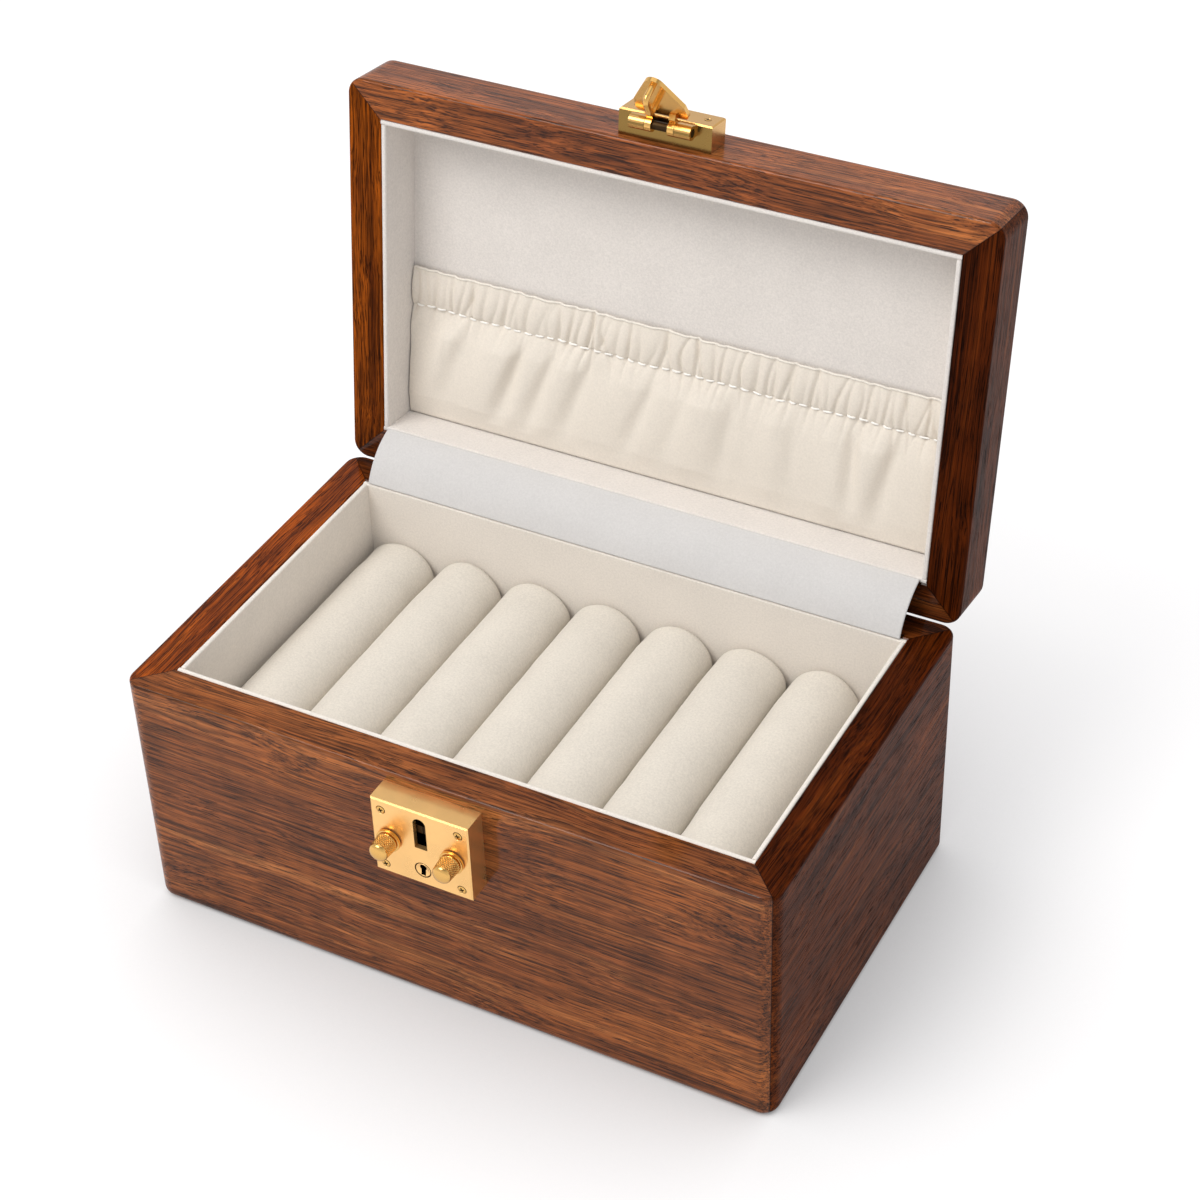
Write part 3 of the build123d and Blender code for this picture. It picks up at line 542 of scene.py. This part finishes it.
def make_rolls():
    low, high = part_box("roll_4")
    radius, half = (high.x - low.x) / 2, (high.y - low.y) / 2
    edge = ROLL_ROUNDING
    profile = [(0, -half)]
    for share in (0.25, 0.5, 0.72, 0.9):
        profile.append(((radius - edge) * share, -half + 0.02 * MM))
    for turn in np.linspace(0, 90, 8):
        profile.append((radius - ROLL_INSET - edge + edge * math.sin(math.radians(turn)),
                        -half + edge - edge * math.cos(math.radians(turn))))
    for share in np.linspace(-1, 1, 45)[1:-1]:
        profile.append((radius - ROLL_INSET * share**4, (half - edge) * share))
    profile += [(r, -h) for r, h in profile[12:0:-1]] + [(0, half)]
    rng = np.random.default_rng(4)
    lumps = rng.uniform(0, 2 * np.pi, 12)

    def padding(turns, number, height):
        wave = sum(np.sin((k % 4 + 1) * turns + lumps[k] + height * 55 * (k - 6)) for k in range(12))
        return 0.05 * MM * wave

    first = lathe("roll_form", profile, roll_cloth, 96, padding)
    swell(first, ROLL_PRESSURE, ROLL_SWELL)
    points = coordinates(first.data)
    around = np.hypot(points[:, 0], points[:, 1])
    squeeze = np.minimum(1, (radius - 0.05 * MM) / np.maximum(around, 1e-9))
    points[:, 0] *= squeeze
    points[:, 1] *= squeeze
    points[:, 2] = np.clip(points[:, 2], -half, half)
    set_coordinates(first.data, points)
    for number in range(1, 8):
        low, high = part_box(f"roll_{number}")
        middle = (low + high) / 2
        turn = Matrix.Rotation(number * 1.9, 4, "Z")
        lay = Matrix.Rotation(math.radians(90 if number % 2 else -90), 4, "X")
        mesh = first.data.copy()
        mesh.transform(Matrix.Translation(middle) @ lay @ turn)
        made = bpy.data.objects.new(f"padded_roll_{number}", mesh)
        bpy.context.scene.collection.objects.link(made)
        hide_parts(f"roll_{number}")
        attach(made, f"roll_{number}")
    bpy.data.objects.remove(first)


# Pocket: gathered cloth in the open lid, drawn as heights above the lid's lining, in millimetres

STITCH_LENGTH = 3.3
STITCH_GAP = 1.2
STITCH_RADIUS = 0.38 * MM
STITCH_POINTS = 7
HEM_RADIUS = 0.42 * MM


class Pocket:
    """Height of the gathered cloth. across runs along the lid, and up from the hinge side to the ruffle."""

    def __init__(self):
        body_low, body_high = shut_box("pocket_body")
        ruffle_low, _ = shut_box("pocket_ruffle")
        self.half = body_high.x / MM
        self.start = body_high.y
        self.panel = body_high.z
        self.stitch = (body_high.y - body_low.y) / MM
        self.top = (body_high.y - ruffle_low.y) / MM
        rng = np.random.default_rng(11)
        self.fold_x = np.cumsum(rng.uniform(12.5, 26.0, 13)) - self.half - 14
        self.fold_width = rng.uniform(4.5, 8.0, 13)
        self.fold_height = rng.uniform(1.6, 3.9, 13)
        self.fold_lean = rng.uniform(-5, 6, 13)
        self.crease_depth = rng.uniform(0.5, 3.4, 13)
        self.pleat_x = np.cumsum(rng.uniform(2.3, 5.2, 90)) - self.half - 8
        self.pleat_depth = rng.uniform(0.45, 1.70, 90)
        self.pleat_lean = rng.normal(1.6, 2.2, 90)
        self.pleat_bend = rng.normal(0, 0.8, 90)
        self.pleat_width = rng.uniform(0.55, 1.25, 90)

    def stitch_line(self, across):
        return self.stitch + 0.35 * np.sin(across / 9.0) + 0.22 * np.sin(across / 3.7 + 1.0)

    def top_line(self, across):
        return self.top - 0.25 + 0.10 * np.sin(across / 1.1) + 0.10 * np.sin(across / 5.1 + 2.0)

    def folds(self, across, up):
        """Broad soft folds of the pouch with a crease beside each, from the stitches towards the hinge."""
        down = np.clip(self.stitch - up, 0, None) / self.stitch
        fade = np.sin(np.pi * np.clip(down / 0.9, 0, 1)) ** 0.7
        total = 0
        for x, width, height, turn, depth in zip(self.fold_x, self.fold_width, self.fold_height,
                                                 self.fold_lean, self.crease_depth):
            lean = 20 * (1 - np.clip((x + self.half) / (1.5 * self.half), 0, 1)) + 2 + turn
            centre = x - lean * down**0.9
            spread = width * (1 + 0.9 * down)
            total = total + height * np.exp(-((across - centre) / spread) ** 2) * (1 - 0.55 * down)
            beside = across - centre - 1.25 * width
            total = total - depth * np.exp(-((beside / (1.9 + 2.8 * down)) ** 2)) * fade
        return total

    def pleats(self, across, up):
        """Narrow creases between the gathers of the ruffle, which lean and run a little into the pouch."""
        rise = (up - self.stitch) / (self.top - self.stitch)
        total = 0
        for i in range(len(self.pleat_x)):
            centre = self.pleat_x[i] + self.pleat_lean[i] * rise + self.pleat_bend[i] * np.sin(3.1 * rise)
            spread = self.pleat_width[i] * (1 + 0.35 * np.abs(rise))
            away = np.abs(across - centre) / spread
            total = total - self.pleat_depth[i] * np.exp(-(away**1.5))
        return total

    def height(self, across, up):
        down = np.clip(self.stitch - up, 0, None) / self.stitch
        rise = np.clip(up - self.stitch, 0, None) / (self.top - self.stitch)
        pouch = 1.6 + 2.6 * (1 - np.clip(1 - 1.5 * down, 0, 1) ** 2)
        below_stitches = np.clip(4.0 * down + 0.15, 0, 1)
        above_hinge = np.clip(5 * (1 - down), 0, 1)
        pouch = pouch + self.folds(across, up) * below_stitches * above_hinge
        ruffle = 2.3 + 0.9 * np.sin(np.pi * rise) - 0.5 * rise
        blend = np.clip((up - self.stitch) / 1.2 + 0.5, 0, 1)
        pinch = np.exp(-np.abs(up - self.stitch_line(across)) / 1.3)
        reach = np.where(up < self.stitch, np.exp(-(self.stitch - up) / 4.5), 1 - 0.55 * rise**2)
        gathers = self.pleats(across, up) * reach * (1 - 0.30 * pinch)
        hem = 0.25 * np.exp(-(((self.top_line(across) - up) / 0.45) ** 2))
        return pouch * (1 - blend) + ruffle * blend + gathers - 0.55 * pinch + hem

    def place(self, across, up, lift=0.0):
        """A point on the open lid, lift millimetres in front of the cloth."""
        height = self.height(across, up) + lift
        shut = np.stack([across * MM, self.start - up * MM, self.panel - height * MM], -1)
        turn = np.array(LID_TURN)
        return shut @ turn[:3, :3].T + turn[:3, 3]


def make_pocket():
    pocket = Pocket()
    across = np.linspace(-pocket.half, pocket.half, 560)
    share = np.concatenate([np.linspace(0, 0.74, 60)[:-1], np.linspace(0.74, 1, 62)])
    grid_x = np.tile(across, (len(share), 1))
    grid_up = share[:, None] * pocket.top_line(across)[None, :]
    points = pocket.place(grid_x, grid_up).reshape(-1, 3)
    faces = grid_faces(len(share), len(across))
    cloth = new_object("gathered_pocket", points, faces, pocket_cloth)
    solid = cloth.modifiers.new("cloth", "SOLIDIFY")
    solid.thickness = 0.5 * MM
    solid.offset = -1.0
    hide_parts("pocket_body", "pocket_ruffle")
    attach(cloth, "lid")
    make_stitches(pocket)
    make_hem(pocket)
    make_elastic()


def tube(name, path, radius, material, sides=8):
    """A closed tube along points, thinner at its two ends."""
    path = np.asarray(path)
    along = np.gradient(path, axis=0)
    along /= np.linalg.norm(along, axis=1, keepdims=True)
    side = np.cross(along, (0.31, 0.21, 0.93))
    side /= np.linalg.norm(side, axis=1, keepdims=True)
    up = np.cross(side, along)
    turns = np.linspace(0, 2 * np.pi, sides, endpoint=False)
    taper = np.ones(len(path))
    taper[0] = taper[-1] = 0.45
    cosines, sines = np.cos(turns)[:, None], np.sin(turns)[:, None]
    rings = [path[i] + radius * taper[i] * (cosines * side[i] + sines * up[i]) for i in range(len(path))]
    points = np.concatenate(rings)
    faces = grid_faces(len(path), sides, wrap=True)
    faces.append(tuple(range(sides))[::-1])
    faces.append(tuple(len(points) - sides + i for i in range(sides)))
    return new_object(name, points, faces, material)


def make_stitches(pocket):
    """One running stitch of thick thread along the top of the pouch."""
    rng = np.random.default_rng(23)
    pieces = []
    start = -pocket.half + 1.2
    while start + STITCH_LENGTH < pocket.half:
        length = STITCH_LENGTH * rng.uniform(0.85, 1.12)
        across = np.linspace(start, start + length, STITCH_POINTS)
        shift, slant = rng.uniform(-0.12, 0.12), rng.uniform(-0.1, 0.1)
        up = pocket.stitch_line(across) + shift + np.linspace(-1, 1, STITCH_POINTS) * slant
        rise = 0.30 * np.sin(np.linspace(0, np.pi, STITCH_POINTS)) + 0.12
        top = pocket.height(across, up)
        chord = np.linspace(top[0], top[-1], STITCH_POINTS)
        lift = rise + np.maximum(0, 0.7 * (chord - top))
        pieces.append(tube("stitch", pocket.place(across, up, lift), STITCH_RADIUS, thread))
        start += length + STITCH_GAP * rng.uniform(0.8, 1.25)
    made = join("pocket_stitches", pieces)
    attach(made, "lid")
    return made


def make_hem(pocket):
    """The rolled edge along the top of the ruffle, in lighter cloth that is partly a painted highlight."""
    across = np.linspace(-pocket.half + 0.3, pocket.half - 0.3, 420)
    up = pocket.top_line(across) - 0.1
    made = tube("pocket_hem", pocket.place(across, up, -0.15), HEM_RADIUS, hem_cloth_painted_highlight, 10)
    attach(made, "lid")
    return made


def make_elastic():
    """The ribbed elastic behind the ruffle."""
    low, high = shut_box("pocket_elastic")
    rows, columns, rib_count = 21, 500, 8
    across = np.linspace(low.x, high.x, columns)
    up = np.linspace(low.y, high.y, rows)
    ribs = 0.06 * MM * np.cos(np.linspace(0, 2 * rib_count * np.pi, rows))[:, None] * np.ones(columns)
    crimp = 0.05 * MM * np.sin(across * 2600)[None, :]
    height = low.z - ribs - crimp
    grid = np.stack([np.tile(across, (rows, 1)), np.tile(up[:, None], (1, columns)), height], -1)
    turn = np.array(LID_TURN)
    points = grid.reshape(-1, 3) @ turn[:3, :3].T + turn[:3, 3]
    made = new_object("ribbed_elastic", points, grid_faces(rows, columns), elastic_weave)
    solid = made.modifiers.new("cloth", "SOLIDIFY")
    solid.thickness = 0.45 * MM
    solid.offset = -1.0
    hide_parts("pocket_elastic")
    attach(made, "lid")
    return made


# Strip of fabric from the lining of the base to the lining of the lid, bowed towards the front

STRIP_BOW = 2.6 * MM
STRIP_THICKNESS = 0.9 * MM


def make_strip():
    low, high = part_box("lining_back")
    start = Vector((0, (low.y + high.y) / 2 - 0.5 * MM, high.z + 0.35 * MM))
    low, high = shut_box("lid_lining_back")
    end = LID_TURN @ Vector((0, (low.y + high.y) / 2 - 0.5 * MM, low.z - 0.35 * MM))
    strip_low, strip_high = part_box("hinge_strip")
    run = end - start
    bow = Vector((0, -run.z, run.y)).normalized() * STRIP_BOW
    rows, columns = 34, 240
    across = np.linspace(strip_low.x, strip_high.x, columns)
    share = np.linspace(0, 1, rows)
    rng = np.random.default_rng(31)
    waves = ripple(rng, across[None, :] * 1000, share[:, None] * 21, 9, 46, 0.16 * MM)
    bulge = 4 * share * (1 - share)
    grid = np.zeros((rows, columns, 3))
    grid += np.array(start) + share[:, None, None] * np.array(run)
    grid += np.array(bow.normalized()) * (bulge[:, None] * (bow.length + waves))[..., None]
    grid[..., 0] = across[None, :]
    made = new_object("fabric_strip", grid.reshape(-1, 3), grid_faces(rows, columns), strip_cloth)
    solid = made.modifiers.new("cloth", "SOLIDIFY")
    solid.thickness = STRIP_THICKNESS
    solid.offset = 0.0
    edge = made.modifiers.new("edge", "BEVEL")
    edge.width = 0.35 * MM
    edge.segments = 3
    edge.limit_method = "ANGLE"
    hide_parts("hinge_strip")
    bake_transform(made)


def make_felt():
    low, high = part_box("base_felt")
    rows, columns = 60, 100
    across, along = np.meshgrid(np.linspace(low.x, high.x, columns), np.linspace(low.y, high.y, rows))
    rng = np.random.default_rng(37)
    under = low.z + 0.06 * MM + ripple(rng, across * 1000, along * 1000, 8, 30, 0.02 * MM)
    points = np.stack([across, along, under], -1).reshape(-1, 3)
    made = new_object("felt_sheet", points, grid_faces(rows, columns), felt_cloth)
    solid = made.modifiers.new("cloth", "SOLIDIFY")
    solid.thickness = high.z - low.z - 0.1 * MM
    solid.offset = 1.0
    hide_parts("base_felt")
    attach(made, "base")


# Brass fittings that are finer than their CAD solids

LOCK_SCREW_HEAD = 1.7 * MM
HASP_SCREW_HEAD = 1.3 * MM


def make_screw(place, outward, head, shank, length):
    """A countersunk screw with a groove round its domed head and a cross in it, both painted near black as
    painted shade.
    """
    ring, depth = 0.28 * MM, 0.30 * MM
    inner = head - ring
    profile = [(0, -length), (0.3 * shank, -length), (shank, 1.5 * shank - length), (shank, shank - head),
               (head - 0.08 * MM, -depth), (inner, -depth), (inner, 0), (inner - 0.10 * MM, 0.07 * MM),
               (0.5 * inner, 0.12 * MM), (0, 0.14 * MM)]
    made = lathe("screw", profile, polished, 40)
    made.data.materials.append(recess_painted_shade)
    for face in made.data.polygons:
        if face.center.xy.length > inner - 0.02 * MM and face.center.z > -1.2 * depth:
            face.material_index = 1
    for turn in (20, 110):
        slot = prism("slot", rectangle(1.3 * inner, 0.34 * inner), -0.45 * MM, 0.45 * MM, recess_painted_shade)
        slot.data.transform(Matrix.Rotation(math.radians(turn), 4, "Z"))
        carve(made, slot)
    return place_along(made, place, outward)


def lock_screw_places():
    """Middles of the four lock screws, from the corners of the box round them."""
    low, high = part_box("lock_screws")
    radius = LOCK_SCREW_HEAD
    return [Vector((x, low.y, z)) for x in (low.x + radius, high.x - radius)
            for z in (low.z + radius, high.z - radius)]


def make_screws():
    screws = [make_screw(place, (0, -1, 0), LOCK_SCREW_HEAD, 0.9 * MM, 17 * MM)
              for place in lock_screw_places()]
    made = join("cross_screws_lock", screws)
    sharpen(made.data)
    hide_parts("lock_screws")
    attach(made, "base")
    low, high = shut_box("hasp_screws")
    middle = (low.z + high.z) / 2
    screws = []
    for x in (low.x + HASP_SCREW_HEAD, high.x - HASP_SCREW_HEAD):
        screw = make_screw(Vector((x, low.y, middle)), (0, -1, 0), HASP_SCREW_HEAD, 0.8 * MM, 15 * MM)
        screw.data.transform(LID_TURN)
        screws.append(screw)
    made = join("cross_screws_hasp", screws)
    sharpen(made.data)
    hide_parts("hasp_screws")
    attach(made, "lid")


# Knobs, in millimetres from the middle of their outer face
KNURL_TEETH = 28
KNURL_PITCH = 1.25
KNURL_DEPTH = 0.24
KNOB_RADIUS = 4.35
GRIP = (-6.5, -1.75)


def knurl(turns, number, height):
    """Crossed grooves round the grip of a knob, which leave small diamonds."""
    along = height / MM
    if not GRIP[0] < along < GRIP[1]:
        return 0 * turns
    first = (KNURL_TEETH * turns / (2 * np.pi) + along / KNURL_PITCH) % 1
    second = (KNURL_TEETH * turns / (2 * np.pi) - along / KNURL_PITCH) % 1
    ridge = np.minimum(1 - np.abs(2 * first - 1), 1 - np.abs(2 * second - 1))
    fade = min(1, (along - GRIP[0]) / 0.3, (GRIP[1] - along) / 0.3)
    return -KNURL_DEPTH * MM * fade * (1 - np.minimum(1, 1.6 * ridge))


def make_knob(side):
    low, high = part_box(f"knob_{side}")
    radius = (high.x - low.x) / 2
    back = -(high.y - low.y) / MM
    shape = [(0, back), (1.4, back), (1.4, -8.2), (4.05, -8.2), (4.30, -8.1), (4.35, -7.9), (4.35, -7.3),
             (4.30, -7.1), (4.05, -7.0), (3.30, -7.0), (3.30, -6.62), (3.66, -6.58)]
    shape += [(3.74 - 0.07 * (h - GRIP[0]), h) for h in np.linspace(*GRIP, 40)]
    shape += [(3.38, -1.68), (3.36, -1.45), (3.22, -1.1), (2.95, -0.75), (2.6, -0.5), (1.8, -0.2),
              (0.9, -0.05), (0, 0)]
    scale = radius / KNOB_RADIUS
    profile = [(r * scale, h * MM) for r, h in shape]
    made = lathe(f"knurled_knob_{side}", profile, polished, 6 * KNURL_TEETH, knurl)
    sharpen(made.data, 42)
    place_along(made, Vector(((low.x + high.x) / 2, low.y, (low.z + high.z) / 2)), (0, -1, 0))
    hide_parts(f"knob_{side}")
    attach(made, f"latch_{side}")


def make_plug():
    """The key cylinder: its pivot and cam inside the lock, and a dished face with a deep keyhole. The ring
    round the face and the keyhole are painted near black as painted shade.
    """
    low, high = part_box("key_plug")
    bolt_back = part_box("lock_bolt")[1].y
    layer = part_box("latch_right")[1].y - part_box("latch_right")[0].y
    radius, pivot, tip = -low.x, 1.2 * MM, 0.8 * MM
    length = high.y - low.y
    cam_low = low.y - bolt_back
    rim, ring_depth = radius - 0.36 * MM, 0.6 * MM
    shoulder = radius - 0.02 * MM
    profile = [(0, -length), (pivot, -length), (pivot, cam_low + layer / 2), (shoulder, cam_low + layer / 2),
               (shoulder, -ring_depth), (rim, -ring_depth), (rim, 0.0), (rim - 0.08 * MM, 0.08 * MM),
               (rim - 0.30 * MM, 0.08 * MM), (rim - 0.42 * MM, -0.02 * MM), (0.5 * rim, -0.24 * MM),
               (0, -0.30 * MM)]
    plug = lathe("plug", profile, satin, 64)
    plug.data.materials.append(recess_painted_shade)
    for face in plug.data.polygons:
        if face.center.xy.length > rim - 0.02 * MM and face.center.z > -1.1 * ring_depth:
            face.material_index = 1
    keyway = rectangle(1.7 * MM, 3.0 * MM, y=-0.75 * MM)
    for outline in (arc(1.25 * MM, 0, 2 * np.pi, 33, y=0.95 * MM)[:-1], keyway):
        carve(plug, prism("keyhole", outline, -3.2 * MM, 1 * MM, recess_painted_shade))
    reach = high.x - tip
    touch = math.acos((radius - tip) / reach)
    outline = arc(radius, touch, 2 * np.pi - touch, 40) + arc(tip, -touch, touch, 12, x=reach)
    cam = prism("cam", outline, cam_low, cam_low + layer, satin)
    made = join("keyed_plug", [plug, cam])
    sharpen(made.data)
    place_along(made, Vector((0, low.y, (low.z + high.z) / 2)), (0, -1, 0))
    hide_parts("key_plug")
    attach(made, "key")


SPRING_THICKNESS = 0.35 * MM
SPRING_BEND = 3.0 * MM


def make_spring(side):
    """A hairpin spring between a latch and the wall of the lock."""
    low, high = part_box(f"latch_spring_{side}")
    half, bend = SPRING_THICKNESS / 2, SPRING_BEND
    near, far, crest = low.x + half, high.x - half, high.z - half
    outline = []
    for radius, turns in ((bend + half, (1.0, 0.5, 0.0)), (bend - half, (0.0, 0.5, 1.0))):
        for start, end in zip(turns, turns[1:]):
            middle = near + bend if max(start, end) > 0.6 else far - bend
            outline += arc(radius, start * math.pi, end * math.pi, 12, x=middle, y=crest - bend)
        edge = far if radius > bend else near
        outline += [(edge + half, low.z), (edge - half, low.z)]
    made = prism(f"hairpin_spring_{side}", outline, -high.y, -low.y, steel)
    made.data.transform(Matrix.Rotation(math.radians(90), 4, "X"))
    sharpen(made.data)
    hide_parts(f"latch_spring_{side}")
    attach(made, "base")
    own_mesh(made)


make_rolls()
make_pocket()
make_strip()
make_felt()
make_screws()
make_plug()
for side in ("left", "right"):
    make_knob(side)
    make_spring(side)


# Stage: a white floor that keeps the shadow and has a painted contact shadow near the box, soft lamps and a
# pale world

FLOOR_REACH = 6.0
FLOOR_SHADED = (0.44, 0.43, 0.433, 1)
FLOOR_GLOW = 0.65
CONTACT_SHADOW = 0.15
AMBIENT_LIGHT = 0.62


def make_floor():
    mesh = bpy.data.meshes.new("floor")
    corners = [(x * FLOOR_REACH, y * FLOOR_REACH, 0) for x, y in ((-1, -1), (1, -1), (1, 1), (-1, 1))]
    mesh.from_pydata(corners, [], [(0, 1, 2, 3)])
    floor = bpy.data.objects.new("floor", mesh)
    bpy.context.scene.collection.objects.link(floor)
    material = bpy.data.materials.new("floor_white")
    material.use_nodes = True
    tree = material.node_tree
    tree.nodes.clear()
    rays = add(tree, "LightPath").outputs
    seen = maths(tree, "MAXIMUM", rays["Is Camera Ray"],
                 maths(tree, "MAXIMUM", rays["Is Glossy Ray"], rays["Is Transmission Ray"]))
    shaded = add(tree, "BsdfDiffuse", {"Color": FLOOR_SHADED})
    # The floor's glow is dimmed near the box by ambient occlusion: a painted contact shadow
    painted_contact_shadow = add(tree, "AmbientOcclusion", {"Distance": CONTACT_SHADOW}).outputs["AO"]
    glow = maths(tree, "MULTIPLY", painted_contact_shadow, FLOOR_GLOW)
    lit = add(tree, "Emission", {"Color": (1, 1, 1, 1), "Strength": glow})
    both = add(tree, "AddShader", {0: shaded.outputs[0], 1: lit.outputs[0]})
    bounce = add(tree, "BsdfDiffuse", {"Color": (0.80, 0.80, 0.80, 1)})
    chosen = add(tree, "MixShader", {0: seen, 1: bounce.outputs[0], 2: both.outputs[0]})
    out = add(tree, "OutputMaterial", {"Surface": chosen.outputs[0]})
    mesh.materials.append(material)


def make_lamp(name, place, aim, size, power, colour=(1, 1, 1)):
    lamp = bpy.data.lights.new(name, "AREA")
    lamp.shape = "RECTANGLE"
    lamp.size, lamp.size_y = size
    lamp.energy = power
    lamp.color = colour
    made = bpy.data.objects.new(name, lamp)
    made.location = place
    made.rotation_euler = (Vector(aim) - Vector(place)).to_track_quat("-Z", "Y").to_euler()
    bpy.context.scene.collection.objects.link(made)


def make_world():
    world = bpy.data.worlds.new("studio")
    bpy.context.scene.world = world
    world.use_nodes = True
    tree = world.node_tree
    tree.nodes.clear()
    rays = add(tree, "LightPath").outputs
    seen = maths(tree, "MAXIMUM", rays["Is Camera Ray"],
                 maths(tree, "MAXIMUM", rays["Is Glossy Ray"], rays["Is Transmission Ray"]))
    ambient = add(tree, "Background", {"Color": (0.97, 0.98, 1, 1), "Strength": AMBIENT_LIGHT})
    upwards = add(tree, "SeparateXYZ", {0: add(tree, "TexCoord").outputs["Generated"]}).outputs[2]
    sky = ramp(tree, upwards, [(0.0, 1.0), (0.35, 0.88), (0.62, 0.74), (1.0, 0.28)])
    backdrop = add(tree, "Background", {"Color": sky, "Strength": 1.0})
    chosen = add(tree, "MixShader", {0: seen, 1: ambient.outputs[0], 2: backdrop.outputs[0]})
    add(tree, "OutputWorld", {"Surface": chosen.outputs[0]})


def make_camera():
    azimuth, elevation = math.radians(CAMERA_AZIMUTH), math.radians(CAMERA_ELEVATION)
    back = Vector((math.sin(azimuth) * math.cos(elevation), -math.cos(azimuth) * math.cos(elevation),
                   math.sin(elevation)))
    turn = back.to_track_quat("Z", "Y").to_matrix().to_4x4()
    camera = bpy.data.cameras.new("camera")
    camera.lens = FOCAL_LENGTH
    camera.sensor_width = SENSOR_WIDTH
    made = bpy.data.objects.new("camera", camera)
    bpy.context.scene.collection.objects.link(made)
    roll = Matrix.Rotation(math.radians(CAMERA_ROLL), 4, "Z")
    made.matrix_world = Matrix.Translation(CAMERA_TARGET + back * CAMERA_DISTANCE) @ turn @ roll
    bpy.context.scene.camera = made


make_floor()
make_world()
make_camera()
make_lamp("key", (-0.55, -0.88, 1.62), (0, 0, 0.08), (1.0, 1.0), 20.0, (1.0, 0.98, 0.95))
make_lamp("top", (-0.10, 0.25, 1.6), (0, 0.05, 0.1), (1.2, 1.2), 4.0)

bpy.context.scene.view_settings.view_transform = "Standard"
